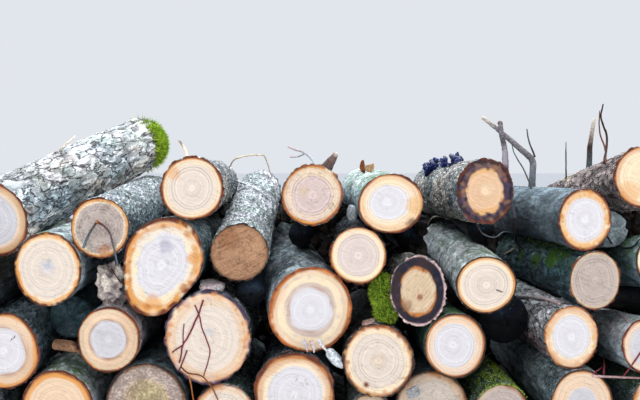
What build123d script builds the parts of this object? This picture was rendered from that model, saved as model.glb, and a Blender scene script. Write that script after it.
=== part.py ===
from build123d import *
import math
import os

import numpy as np
from scipy.optimize import linprog

# A freestanding stack of roundwood logs, sawn to one metre and piled by hand.
# X runs along the stack, Y from the sawn faces at the front to the far ends, and Z up.
# Sizes are in millimetres and angles in degrees.

# Driving sizes
log_length = 1000.0         # cross-cut length of a whole log
deep = 300.0                # how far the butts of the offcuts in the stack's hollows stand back
shallow = 200.0             # the same for those that reach nearer to the front
seat_gap = 0.4              # air left between a log and the ones that carry it
taper = 0.07                # share of its girth that a log loses over its length
butt_flare = 0.035          # swelling at the butt, as a share of the girth
straight = 0.0              # the same for a log sawn from higher up the stem
flare_reach = 0.15          # share of the length over which the swelling fades
wander = 0.012              # natural unevenness of every outline, as a share of its radius
roll_room = 8.0             # how far either end of a log may roll off its mark as it settles
outline_points = 14         # points that one cut outline runs through
outline_flats = 24          # flats round a log that has a branch to join
branch_sides = 8            # flats round a snapped branch

# Settling: rounds of lowering, and how finely the bark is felt for contact
grip = 0.25                 # fall for each unit of sideways roll below which bark holds a log
drop_rounds = 4             # rounds straight down, before the log may roll
roll_rounds = 12
roll_step = 6.0             # most that an end rolls in the first of them
roll_fade = 0.75            # how much less it may roll in each later round
still = 0.02                # a round that moves a log by less ends its settling
pinch = 100.0               # fall for each unit of bark that a log wedged from all sides has to yield
felt_stations = np.linspace(0, 1, 31)
felt_spread = np.radians(np.linspace(-24, 24, 17))


class Log:
    """A tapered log with its butt at the front, laid on a mark `across` the stack."""

    def __init__(self, name, butt, across, swing=0.0, tall=0.0, thin=taper, flare=butt_flare, behind=0.0,
                 length=log_length, lobes=(), branches=()):
        self.name = name
        self.butt = butt            # mean diameter of the sawn butt
        self.swing = swing          # turn of the far end towards +X
        self.thin = thin            # negative where the thick end lies at the back
        self.flare = flare
        self.behind = behind        # how far the butt stands back from the front of the stack
        self.length = length
        self.branches = branches
        seed = sum(ord(letter) * (place + 1) for place, letter in enumerate(name))
        uneven = [(order, wander / (order - 1), seed * order * 37 % 360) for order in (2, 3, 4)]
        self.lobes = [(2, tall, 90), *lobes, *uneven]      # order, share of the radius, direction
        lean = math.radians(swing)
        self.front = np.array([across, behind, 0.0])
        self.rear = self.front + length * np.array([math.sin(lean), math.cos(lean), 0.0])

    def radius(self, angle, share):
        """Bark radius at an angle round the pith and a share of the length."""
        girth = 1 - self.thin * share - self.flare * np.minimum(share / flare_reach, 1)
        outline = 1.0
        for order, depth, direction in self.lobes:
            outline = outline + depth * np.cos(order * (angle - math.radians(direction)))
        return self.butt / 2 * girth * outline

    def frame(self):
        """Unit vectors along the pith, to the right and up, seen from the front."""
        along = (self.rear - self.front) / np.linalg.norm(self.rear - self.front)
        right = np.cross(along, (0.0, 0.0, 1.0))
        right = right / np.linalg.norm(right)
        return along, right, np.cross(right, along)

    def pith(self, share):
        """Points of the centre line."""
        return self.front + np.multiply.outer(share, self.rear - self.front)

    def bark(self, angle, share):
        """Points of the bark, one for each pair of angle and share of the length."""
        along, right, up = self.frame()
        radius = self.radius(angle, share)
        side = np.cos(angle)[..., None] * right + np.sin(angle)[..., None] * up
        return self.pith(share) + radius[..., None] * side

    def air(self, points):
        """Air between each point and this log, with the direction that leads out of it."""
        along, right, up = self.frame()
        offset = points - self.front
        share = offset @ along / self.length
        inside = np.clip(share, 0, 1)
        side = offset @ right
        rise = offset @ up
        angle = np.arctan2(rise, side)
        gap = np.hypot(side, rise) - self.radius(angle, inside)
        beside = np.abs(share - 0.5) < 0.5 + 0.5 / len(felt_stations)
        way = np.cos(angle)[..., None] * right + np.sin(angle)[..., None] * up
        return np.where(beside, gap, np.inf), way


class Floor:
    """Level ground, felt in the same way as a log."""

    def air(self, points):
        return points[..., 2], np.broadcast_to((0.0, 0.0, 1.0), points.shape)


def feel(log, other):
    """Least air at each station of `log` against `other`, and the way out there."""
    share = felt_stations
    centre = log.pith(share)
    along, right, up = log.frame()
    if isinstance(other, Floor):
        towards = np.broadcast_to((0.0, 0.0, -1.0), centre.shape)
    else:
        towards = -other.air(centre)[1]
    heading = np.arctan2(towards @ up, towards @ right)
    angle = heading[:, None] + felt_spread
    points = log.bark(angle, np.broadcast_to(share[:, None], angle.shape))
    gap, way = other.air(points)
    nearest = np.argmin(gap, axis=1)
    rows = np.arange(len(share))
    return gap[rows, nearest], way[rows, nearest]


def beside(log, other):
    """Whether one log could come to lie against the other, going by their places along the stack."""
    apart = other.front[0] - log.front[0], other.rear[0] - log.rear[0]
    touching = (log.butt + other.butt) / 2 + 2 * roll_room
    return apart[0] * apart[1] < 0 or min(abs(apart[0]), abs(apart[1])) < touching


def knock_flush(log):
    """Slides a log along the stack's depth until the foremost point of its butt is where it should be."""
    rim = log.bark(np.linspace(0, 2 * math.pi, 90), np.zeros(90))
    slide = (0.0, log.behind - rim[:, 1].min(), 0.0)
    log.front = log.front + slide
    log.rear = log.rear + slide


def settle(log, laid):
    """Lowers a log until the logs below hold both its ends, as a series of small linear programs."""
    near = [other for other in laid if beside(log, other)]
    log.front[2] = log.rear[2] = max([other.front[2] + other.butt for other in near], default=0.0) + log.butt
    mark = np.array([log.front[0], log.rear[0]])
    for turn in range(drop_rounds + roll_rounds):
        knock_flush(log)
        rows, room = [], []
        for other in [Floor(), *near]:
            gap, way = feel(log, other)
            real = np.isfinite(gap)
            rear = felt_stations[real]
            fore = 1 - rear
            side, lift = way[real, 0], way[real, 2]
            push = [side * fore, -side * fore, side * rear, -side * rear, lift * fore, lift * rear, np.ones_like(rear)]
            rows.append(-np.stack(push, axis=1))
            room.append(gap[real] - seat_gap)
        step = 0.0 if turn < drop_rounds else roll_step * roll_fade ** (turn - drop_rounds)
        rolled = np.array([log.front[0], log.rear[0]]) - mark
        right = np.clip(roll_room - rolled, 0, step)
        left = np.clip(roll_room + rolled, 0, step)
        bounds = [(0, right[0]), (0, left[0]), (0, right[1]), (0, left[1]), (None, None), (None, None), (0, None)]
        cost = [grip] * 4 + [1, 1, pinch]
        move = linprog(cost, A_ub=np.vstack(rows), b_ub=np.concatenate(room), bounds=bounds).x
        log.front += (move[0] - move[1], 0, move[4])
        log.rear += (move[2] - move[3], 0, move[5])
        if step and np.abs(move).max() < still:
            break


def branch(log, share, knees):
    """A snapped branch as one tapered loft with mitred knees, from near the pith to its broken tip.

    Each knee is its place across and above the pith, as seen from the front, and its girth.
    """
    root = log.pith(share)
    places = [Vector(root[0] + across, root[1], root[2] + above) for across, above, girth in knees]
    ways = [(end - start).normalized() for start, end in zip(places, places[1:])]
    headings = [ways[0], *[(before + after).normalized() for before, after in zip(ways, ways[1:])], ways[-1]]
    sections = []
    for place, heading, (across, above, girth) in zip(places, headings, knees):
        section = Plane(place, x_dir=(0, 1, 0), z_dir=heading) * RegularPolygon(girth / 2, branch_sides)
        sections.append(section.wire())
    return Solid.make_loft(sections, ruled=True)


def solid(log):
    """The log as a loft through its outlines, square-cut at both ends, with the branches it still has."""
    turns = np.linspace(0, 2 * math.pi, outline_flats if log.branches else outline_points, endpoint=False)
    outlines = []
    for share in (0.0, flare_reach, 1.0) if log.flare else (0.0, 1.0):
        points = [Vector(*point) for point in log.bark(turns, np.full_like(turns, share))]
        if log.branches:
            outlines.append(Wire.make_polygon(points, close=True))
        else:
            outlines.append(Wire(Edge.make_spline(points, periodic=True)))
    stem = Solid.make_loft(outlines, ruled=True)
    return stem.fuse(*[branch(log, share, knees) for share, knees in log.branches]).solid() if log.branches else stem


logs = [
    Log("ground_1", 190, -1310, 0, thin=-0.045, flare=straight),
    Log("ground_2", 190, -1095, 0, thin=-0.045, flare=straight),
    Log("ground_3", 190, -850, 0, thin=-0.065, flare=straight),
    Log("ground_4", 190, -605, 0, thin=-0.065, flare=straight),
    Log("ground_5", 190, -365, 0, thin=-0.065, flare=straight),
    Log("ground_6", 188, -165, 0, thin=-0.005, flare=straight),
    Log("ground_7", 204, 35, 0, thin=-0.005, flare=straight),
    Log("ground_8", 170, 225, 0, thin=-0.005, flare=straight),
    Log("ground_9", 176, 405, -1, thin=0.035, flare=straight),
    Log("ground_10", 205, 605, -2, thin=0.035, flare=straight),
    Log("ground_11", 205, 816, -3, thin=0.105, flare=straight),
    Log("ground_12", 190, 1035, -4, thin=0.105, flare=straight),
    Log("ground_13", 190, 1240, -5, thin=0.105, flare=straight),
    Log("bottom_1", 190, -1195, 1, thin=0.035, flare=straight),
    Log("bottom_2", 195, -965, 1, thin=0.035, flare=straight),
    Log("bottom_3", 203, -707, 1, tall=0.01, thin=-0.05),
    Log("bottom_4", 222, -464, 1, thin=-0.03),
    Log("bottom_5", 170, -262, 1, thin=0.015, flare=straight),
    Log("bottom_6", 232, -74, 1, tall=0.01),
    Log("bottom_7", 122, 132, 0, thin=-0.1, flare=straight, behind=60),
    Log("bottom_8", 200, 312, -1, thin=0.105, flare=straight, behind=80),
    Log("bottom_9", 158, 500, -2, thin=0.105, flare=straight),
    Log("bottom_10", 186, 706, -4, tall=0.04),
    Log("bottom_11", 190, 930, -4, thin=0.105, flare=straight),
    Log("bottom_12", 190, 1140, -4, thin=0.105, flare=straight),
    Log("middle_1", 190, -1070, 4, thin=0.105, flare=straight),
    Log("middle_2", 208, -869, 3, tall=0.05, thin=-0.02),
    Log("middle_3", 178, -567, 2, tall=0.03, thin=-0.04),
    Log("middle_4", 250, -305, 1, tall=0.03),
    Log("middle_5", 202, 158, 0, tall=0.02),
    Log("middle_6", 176, 360, -2, tall=0.04),
    Log("middle_7", 234, -26, -7, tall=0.01),
    Log("middle_8", 164, 684, -5, tall=0.06),
    Log("middle_9", 150, 900, -5, tall=0.05),
    Log("middle_10", 180, 1060, -5, thin=0.105, flare=straight),
    Log("wedge_1", 122, -712, 2, thin=0.05, flare=straight, behind=shallow, length=log_length - shallow),
    Log("wedge_2", 80, -190, -3, thin=0.1, flare=straight, behind=60),
    Log("wedge_3", 140, 530, -3, thin=0.25, flare=straight, behind=180),
    Log("wedge_4", 110, 985, -5, thin=0.105, flare=straight, behind=shallow, length=log_length - shallow),
    Log("upper_1", 195, -975, 6, thin=0.105, flare=straight),
    Log("upper_2", 195, -739, 3, tall=0.06, thin=0.02),
    Log("upper_3", 241, -422, 1, lobes=[(2, 0.156, 66), (3, 0.058, 133), (4, 0.035, 70)]),
    Log("upper_4", 174, 275, -2, tall=0.11),
    Log("upper_5", 160, 96, 2, thin=0.0),
    Log("upper_6", 164, 459, -2, tall=-0.04),
    Log("upper_7", 156, 739, -6, tall=0.06),
    Log("upper_8", 150, 935, -5, tall=0.04),
    Log("top_2", 169, -594, 1, tall=0.02),
    Log("top_1", 214, -886, 17, thin=0.12),
    Log("wedge_5", 80, -60, 2, thin=0.3, flare=straight, behind=deep, length=log_length - deep),
    Log("top_4", 164, -219, 1),
    Log("wedge_6", 78, 262, -1, thin=0.105, flare=straight, behind=deep, length=log_length - deep),
    Log("wedge_7", 78, 470, -3, thin=0.6, flare=straight, behind=deep, length=log_length - deep),
    Log("wedge_8", 104, 833, -5, thin=0.105, flare=straight, behind=shallow, length=log_length - shallow),
    Log("top_3", 175, -354, 0, tall=0.01),
    Log("top_5", 170, -21, 0, branches=[(0.04, [(20, 45, 44), (58, 98, 30), (66, 114, 22)])]),
    Log("top_6", 172, 184, -2, tall=-0.05),
    Log("top_7", 172, 455, -4, tall=0.055),
    Log("top_8", 160, 718, -6, tall=0.06, branches=[(0.6, [(0, 40, 22), (0, 150, 17), (-6, 162, 20), (-140, 262, 13)])]),
    Log("top_9", 167, 868, -4, tall=0.02, branches=[(0.6, [(0, 40, 22), (4, 150, 16), (16, 236, 11)])]),
]


def lay(logs):
    """Settles every log on the ones before it, from the ground up."""
    laid = []
    for log in logs:
        settle(log, laid)
        laid.append(log)
    return laid


def centred(solids):
    """The whole stack moved so that its origin is on the floor, below the middle of its box."""
    box = Compound(solids).bounding_box()
    middle = box.center()
    return [body.moved(Location((-middle.X, -middle.Y, -box.min.Z))) for body in solids]


def main():
    os.makedirs("parts", exist_ok=True)
    laid = lay(logs)
    for log, body in zip(laid, centred([solid(log) for log in laid])):
        export_step(body, f"parts/{log.name}.step")


if __name__ == "__main__":
    main()
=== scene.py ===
import math
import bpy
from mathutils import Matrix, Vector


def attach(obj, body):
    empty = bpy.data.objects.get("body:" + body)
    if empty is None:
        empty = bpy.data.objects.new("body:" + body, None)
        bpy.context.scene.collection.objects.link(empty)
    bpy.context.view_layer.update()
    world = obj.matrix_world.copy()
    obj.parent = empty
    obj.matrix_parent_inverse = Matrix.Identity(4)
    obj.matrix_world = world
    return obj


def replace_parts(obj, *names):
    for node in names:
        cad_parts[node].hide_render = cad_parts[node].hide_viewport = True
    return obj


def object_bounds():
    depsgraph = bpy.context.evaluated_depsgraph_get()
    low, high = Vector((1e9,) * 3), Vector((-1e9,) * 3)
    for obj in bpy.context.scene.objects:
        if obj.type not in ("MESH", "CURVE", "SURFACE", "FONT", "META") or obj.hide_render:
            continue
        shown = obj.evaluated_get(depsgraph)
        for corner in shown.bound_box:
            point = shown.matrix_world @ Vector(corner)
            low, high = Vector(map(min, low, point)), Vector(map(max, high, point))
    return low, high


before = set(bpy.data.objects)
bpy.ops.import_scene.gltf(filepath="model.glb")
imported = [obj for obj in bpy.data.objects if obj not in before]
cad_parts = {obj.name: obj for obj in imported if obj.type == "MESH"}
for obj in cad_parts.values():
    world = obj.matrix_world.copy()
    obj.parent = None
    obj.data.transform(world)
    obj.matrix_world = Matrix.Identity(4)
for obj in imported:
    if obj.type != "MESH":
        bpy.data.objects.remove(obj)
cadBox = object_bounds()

from types import SimpleNamespace

import bpy
import numpy as np

# Stack of logs: sawn faces, bark, lichen, moss, twigs and fungus, in metres in the frame's own axes.
# X runs along the stack, the sawn faces look along -Y, and Z is up.

# Palette, as seen in daylight

palette = {
    "milk": (222, 219, 222),
    "chalk": (206, 204, 208),
    "shell": (228, 214, 200),
    "cream": (244, 224, 190),
    "rose": (212, 194, 184),
    "sand": (214, 190, 158),
    "ashWood": (190, 176, 168),
    "peach": (236, 207, 176),
    "apricot": (226, 186, 150),
    "amber": (226, 158, 84),
    "ochre": (196, 124, 62),
    "rust": (150, 84, 48),
    "walnut": (150, 112, 84),
    "redBark": (98, 50, 36),
    "umber": (62, 44, 36),
    "soot": (24, 28, 44),
    "plum": (74, 60, 82),
    "frost": (206, 220, 226),
    "silver": (166, 182, 190),
    "fog": (132, 150, 158),
    "slate": (100, 120, 128),
    "teal": (72, 106, 112),
    "navy": (34, 46, 64),
    "moss": (92, 138, 26),
    "fern": (54, 96, 40),
    "pink": (206, 176, 174),
    "tan": (236, 200, 158),
    "honey": (230, 180, 120),
    "flesh": (226, 188, 152),
    "wine": (128, 50, 60),
    "scorch": (178, 132, 100),
}


def linear(colour):
    # sRGB bytes, or a palette name, to linear light: ((c + 0.055) / 1.055) ** 2.4 above the toe
    values = np.array(palette.get(colour, colour) if isinstance(colour, str) else colour, float) / 255
    return np.where(values > 0.04045, ((values + 0.055) / 1.055) ** 2.4, values / 12.92)


def blendTones(tones, mix):
    # From the first of two tones to the second as mix goes from 0 to 1
    return linear(tones[0]) * (1 - mix) + linear(tones[1]) * mix


def paintOver(colours, tone, amount):
    # The colours as they are where amount is 0, and the tone where it is 1
    return colours * (1 - amount[..., None]) + linear(tone) * amount[..., None]


def opaque(colours):
    # Colours with a fourth channel of ones, as a mesh's colour attribute holds them
    return np.concatenate([colours, np.ones(colours.shape[:-1] + (1,))], axis=-1)


def seedOf(name, first=1):
    # A number for the random draws of one piece, from its name's letters and their places
    return sum(ord(letter) * (place + first) for place, letter in enumerate(name))


def smooth(low, high, value):
    # 0 below low and 1 above high, with an S-curve 3t^2 - 2t^3 between them
    t = np.clip((value - low) / (high - low), 0, 1)
    return t * t * (3 - 2 * t)


def ripple(theta, along, seed, count, turns, length, fall=1.0):
    # Sum of cosines cos(m theta + k along + phase) over random whole m and random k, in -1..1 or so.
    # turns is the highest m, length the shortest wavelength along, and fall how fast fine waves fade.
    random = np.random.default_rng(seed)
    m = random.integers(-turns, turns + 1, count)
    k = random.uniform(0, 2 * math.pi / length, count)
    phase = random.uniform(0, 2 * math.pi, count)
    weight = (0.15 + np.abs(m) / turns + k * length / (2 * math.pi)) ** -fall
    total = np.zeros(np.broadcast(theta, along).shape)
    for wave in range(count):
        total += weight[wave] * np.cos(m[wave] * theta + k[wave] * along + phase[wave])
    return total / np.sqrt(0.5 * np.sum(weight ** 2)) / 2.2


latticeSize = 48        # random values along each side of the noise's block, which repeats


def lattice(points, seed):
    # Value noise in -1..1: random values at whole numbers, mixed between the eight corners by 3t^2 - 2t^3
    table = np.random.default_rng(seed).uniform(-1, 1, (latticeSize,) * 3)
    base = np.floor(points).astype(int)
    t = points - base
    t = t * t * (3 - 2 * t)
    total = np.zeros(points.shape[:-1])
    for corner in np.ndindex(2, 2, 2):
        weight = np.prod(np.where(corner, t, 1 - t), axis=-1)
        cell = (base + corner) % latticeSize
        total += weight * table[cell[..., 0], cell[..., 1], cell[..., 2]]
    return total


def fractal(points, scale, seed, octaves=3, fade=0.55):
    # Sum of noises, each twice as fine and `fade` times as strong as the one before
    total, weight, whole = 0.0, 1.0, 0.0
    for octave in range(octaves):
        total = total + weight * lattice(points * np.array(scale) * 2 ** octave + 11.3 * octave,
                                         seed + octave)
        whole += weight
        weight *= fade
    return total / whole


# Reading a log from the frame

tableAngles = 256       # angles in a log's table of radii
flareShare = 0.15       # where the swelling of the butt has faded
flatSlack = 0.0002      # metres that the facets of one flat end may lie out of its plane
ringSlack = 0.0006      # metres that the points of one ring may lie before or behind it


def readLog(name):
    # Ends, axes and radii of a log's CAD node. Each end is the flat face whose normal lies along Y.
    # The radius at an angle is read off the ring of points in that end's plane.
    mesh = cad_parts[name].data
    corners = np.empty(len(mesh.vertices) * 3)
    mesh.vertices.foreach_get("co", corners)
    corners = corners.reshape(-1, 3)
    count = len(mesh.polygons)
    normals, middles, areas = np.empty(count * 3), np.empty(count * 3), np.empty(count)
    mesh.polygons.foreach_get("normal", normals)
    mesh.polygons.foreach_get("center", middles)
    mesh.polygons.foreach_get("area", areas)
    normals, middles = normals.reshape(-1, 3), middles.reshape(-1, 3)
    centres = []
    for side in (-1, 1):
        facing = normals[:, 1] * side > 0.9
        largest = np.argmax(np.where(facing, areas, 0))
        flat = facing & (np.abs((middles - middles[largest]) @ normals[largest]) < flatSlack)
        centres.append(np.average(middles[flat], axis=0, weights=areas[flat]))
    front, rear = centres
    length = np.linalg.norm(rear - front)
    along = (rear - front) / length
    right = np.cross(along, (0, 0, 1))
    right /= np.linalg.norm(right)
    up = np.cross(right, along)
    share = (corners - front) @ along / length
    angles = np.linspace(0, 2 * math.pi, tableAngles, endpoint=False)
    stations, radii = [], []
    for station in (0.0, flareShare, 1.0):
        ring = corners[np.abs(share - station) * length < ringSlack]
        if len(ring) < 12:
            continue
        offset = ring - (front + station * (rear - front))
        across, rise = offset @ right, offset @ up
        reach = np.hypot(across, rise)
        outer = reach > 0.5 * np.max(reach)
        turn = np.arctan2(rise, across)[outer]
        order = np.argsort(turn)
        radii.append(np.interp(angles, turn[order], reach[outer][order], period=2 * math.pi))
        stations.append(station)
    return {"front": front, "rear": rear, "length": length, "along": along, "right": right,
            "up": up, "stations": np.array(stations), "radii": np.array(radii)}


def radiusAt(form, theta, share):
    # Radius between the rings: straight-line steps in angle and in share of the length
    row = np.clip(np.searchsorted(form["stations"], share, side="right") - 1, 0, len(form["stations"]) - 2)
    low, high = form["stations"][row], form["stations"][row + 1]
    mix = np.clip((share - low) / (high - low), 0, 1)
    place = (theta / (2 * math.pi)) % 1 * tableAngles
    first = np.floor(place).astype(int) % tableAngles
    turn = place - np.floor(place)
    table = form["radii"]
    lower = table[row, first] * (1 - turn) + table[row, (first + 1) % tableAngles] * turn
    upper = table[row + 1, first] * (1 - turn) + table[row + 1, (first + 1) % tableAngles] * turn
    return lower * (1 - mix) + upper * mix


# Pixels of the photo, which is 640 by 400, traced back into the frame through the scene's own camera

viewpoint = {"place": (0.0379, -4.6446, 1.0176), "pitch": 2.7, "focalPixels": 1500.0, "photoWidth": 640.0,
             "photoHeight": 400.0}
forms = {name: readLog(name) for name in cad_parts}
faceDepth = float(cadBox[0][1])      # where the foremost sawn faces stand


def atDepth(pixels, depth):
    # Points on the rays through pixels, at depths in millimetres behind the sawn faces:
    # way = across, forward and above, drawn out until its Y part spans the distance
    pitch = math.radians(viewpoint["pitch"])
    across = (np.asarray(pixels, float)[..., 0] - viewpoint["photoWidth"] / 2) / viewpoint["focalPixels"]
    rise = (viewpoint["photoHeight"] / 2 - np.asarray(pixels, float)[..., 1]) / viewpoint["focalPixels"]
    forward, above = math.cos(pitch) + rise * math.sin(pitch), rise * math.cos(pitch) - math.sin(pitch)
    way = np.stack([across, forward, above], axis=-1)
    span = faceDepth + np.asarray(depth, float) / 1000 - viewpoint["place"][1]
    return np.array(viewpoint["place"]) + way / way[..., 1:2] * span[..., None]


def airAround(points):
    # Least distance from each point to a log's bark or ends, below zero inside, and that log's number
    best, number = np.full(points.shape[:-1], 9.0), np.zeros(points.shape[:-1], int)
    for index, form in enumerate(forms.values()):
        offset = points - form["front"]
        share = offset @ form["along"] / form["length"]
        across, rise = offset @ form["right"], offset @ form["up"]
        gap = np.hypot(across, rise) - radiusAt(form, np.arctan2(rise, across), np.clip(share, 0, 1))
        gap = np.maximum(gap, np.maximum(-share, share - 1) * form["length"])
        number = np.where(gap < best, index, number)
        best = np.minimum(gap, best)
    return best, number


def firstHit(pixels):
    # Depth in millimetres behind the faces where the ray through each pixel meets a log, and which log
    depths = np.arange(-24.0, 1150.0, 8.0)
    pixels = np.asarray(pixels, float)[:, None, :] + np.zeros((1, len(depths), 1))
    gap, number = airAround(atDepth(pixels, np.broadcast_to(depths, pixels.shape[:2])))
    rows = np.arange(len(pixels))
    first = np.argmax(gap < 0, axis=1)
    before = np.maximum(first - 1, 0)
    part = gap[rows, before] / np.maximum(gap[rows, before] - gap[rows, first], 1e-9)
    depth = np.where((gap < 0).any(axis=1), depths[before] + np.clip(part, 0, 1) * 8, np.nan)
    return depth, [list(forms)[index] for index in number[rows, first]]


def dropTo(pixel, most=80):
    # The first pixel at or below one where a log is met, and its depth
    column = np.array([(pixel[0], pixel[1] + down) for down in range(0, most, 2)], float)
    met = firstHit(column)[0]
    step = int(np.argmax(np.isfinite(met)))
    return column[step] + (0, 2), met[step]


def onLog(name, point):
    # Share along a log and angle round it in radians, of a point
    form = forms[name]
    offset = point - form["front"]
    return offset @ form["along"] / form["length"], math.atan2(offset @ form["up"], offset @ form["right"])


print("logs read:", len(forms))


# Meshes from grids

def closedGrid(rows, columns):
    # Faces of a grid whose columns close on themselves and whose first and last rows close on a pole each.
    # The two poles are the points after the grid's own. Quads join neighbouring rows, and fans the poles.
    index = np.arange(rows * columns).reshape(rows, columns)
    turned = np.roll(index, -1, axis=1)
    quads = np.stack([index[:-1], index[1:], turned[1:], turned[:-1]], axis=-1).reshape(-1, 4)
    pole = np.full(columns, rows * columns)
    fans = np.concatenate([np.stack([index[0], turned[0], pole], axis=1),
                           np.stack([turned[-1], index[-1], pole + 1], axis=1)])
    return quads, fans


def withPoles(values):
    # The values of a grid's points in one column, with the first and last again for the two poles
    flat = values.reshape(values.shape[0] * values.shape[1], -1)
    whole = np.concatenate([flat, flat[:1], flat[-1:]])
    return whole[:, 0] if whole.shape[1] == 1 else whole


def unitBall(rows, sides):
    # The points of a sphere's grid, (cos b cos a, cos b sin a, sin b), and its two poles
    a = np.linspace(0, 2 * math.pi, sides, endpoint=False)[None, :]
    b = np.linspace(-math.pi / 2, math.pi / 2, rows + 2)[1:-1, None]
    grid = np.stack([np.cos(b) * np.cos(a), np.cos(b) * np.sin(a), np.sin(b) + 0 * a], axis=-1)
    return np.concatenate([grid.reshape(-1, 3), [[0, 0, -1], [0, 0, 1]]])


trianglesOf = {}        # how many triangles each piece has


def makePiece(name, points, quads, triangles, finishes, fields, slots=None, flat=False):
    # One mesh object from arrays, with its attributes, riding on the stack
    mesh = bpy.data.meshes.new(name)
    loops = np.concatenate([quads.reshape(-1), triangles.reshape(-1)]).astype(np.int32)
    totals = np.concatenate([np.full(len(quads), 4), np.full(len(triangles), 3)]).astype(np.int32)
    starts = np.concatenate([[0], np.cumsum(totals)[:-1]]).astype(np.int32)
    mesh.vertices.add(len(points))
    mesh.vertices.foreach_set("co", np.ascontiguousarray(points, np.float32).reshape(-1))
    mesh.loops.add(len(loops))
    mesh.loops.foreach_set("vertex_index", loops)
    mesh.polygons.add(len(totals))
    mesh.polygons.foreach_set("loop_start", starts)
    mesh.polygons.foreach_set("use_smooth", np.full(len(totals), not flat))
    for finish in finishes:
        mesh.materials.append(materials[finish])
    if slots is not None:
        mesh.polygons.foreach_set("material_index", slots.astype(np.int32))
    for field, values in fields.items():
        kind = {1: "FLOAT", 3: "FLOAT_VECTOR", 4: "FLOAT_COLOR"}[1 if values.ndim == 1 else values.shape[1]]
        key = {"FLOAT": "value", "FLOAT_VECTOR": "vector", "FLOAT_COLOR": "color"}[kind]
        mesh.attributes.new(field, kind, "POINT").data.foreach_set(key, values.astype(np.float32).reshape(-1))
    mesh.update(calc_edges=True)
    mesh.validate()
    piece = bpy.data.objects.new(name, mesh)
    bpy.context.scene.collection.objects.link(piece)
    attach(piece, "root")
    trianglesOf[name] = 2 * len(quads) + len(triangles)
    return piece


# Shader node groups

def newGroup(name, inputs, outputs):
    # An empty group with its named sockets; inputs are (name, kind, start value)
    group = bpy.data.node_groups.new(name, "ShaderNodeTree")
    for label, kind, start in inputs:
        socket = group.interface.new_socket(label, in_out="INPUT", socket_type=kind)
        if start is not None:
            socket.default_value = start
    for label, kind in outputs:
        group.interface.new_socket(label, in_out="OUTPUT", socket_type=kind)
    return group, group.nodes.new("NodeGroupInput"), group.nodes.new("NodeGroupOutput")


def addNode(tree, kind, links=None, **settings):
    # A node with its settings; links gives each input a value or the output that feeds it
    node = tree.nodes.new(kind)
    for setting, value in settings.items():
        setattr(node, setting, value)
    for key, value in (links or {}).items():
        if isinstance(value, bpy.types.NodeSocket):
            tree.links.new(value, node.inputs[key])
        else:
            node.inputs[key].default_value = value
    return node


def mathNode(tree, operation, *values, clamp=False):
    # One sum or comparison of values or outputs
    return addNode(tree, "ShaderNodeMath", dict(enumerate(values)), operation=operation,
                   use_clamp=clamp).outputs[0]


def rampNode(tree, value, low, high, bottom=0.0, top=1.0):
    # Smooth step of a value from low..high to bottom..top
    links = {"Value": value, "From Min": low, "From Max": high, "To Min": bottom, "To Max": top}
    return addNode(tree, "ShaderNodeMapRange", links, interpolation_type="SMOOTHSTEP").outputs["Result"]


def mixColour(tree, factor, first, second, blend="MIX"):
    # Two colours mixed; the node's sockets of one name are told apart by their type
    node = addNode(tree, "ShaderNodeMix", data_type="RGBA", blend_type=blend)
    for key, value in (("Factor", factor), ("A", first), ("B", second)):
        sockets = [socket for socket in node.inputs if socket.name == key]
        socket = sockets[0] if key == "Factor" else [s for s in sockets if s.type == "RGBA"][0]
        if isinstance(value, bpy.types.NodeSocket):
            tree.links.new(value, socket)
        else:
            socket.default_value = value if key == "Factor" else (*value, 1)
    return [socket for socket in node.outputs if socket.type == "RGBA"][0]


def noiseNode(tree, vector, scale, detail=3.0, rough=0.55, stretch=None):
    # Noise of a place, with its axes scaled by stretch where given
    if stretch:
        vector = addNode(tree, "ShaderNodeMapping", {"Vector": vector, "Scale": stretch}).outputs["Vector"]
    links = {"Vector": vector, "Scale": scale, "Detail": detail, "Roughness": rough}
    return addNode(tree, "ShaderNodeTexNoise", links).outputs["Fac"]


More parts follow.
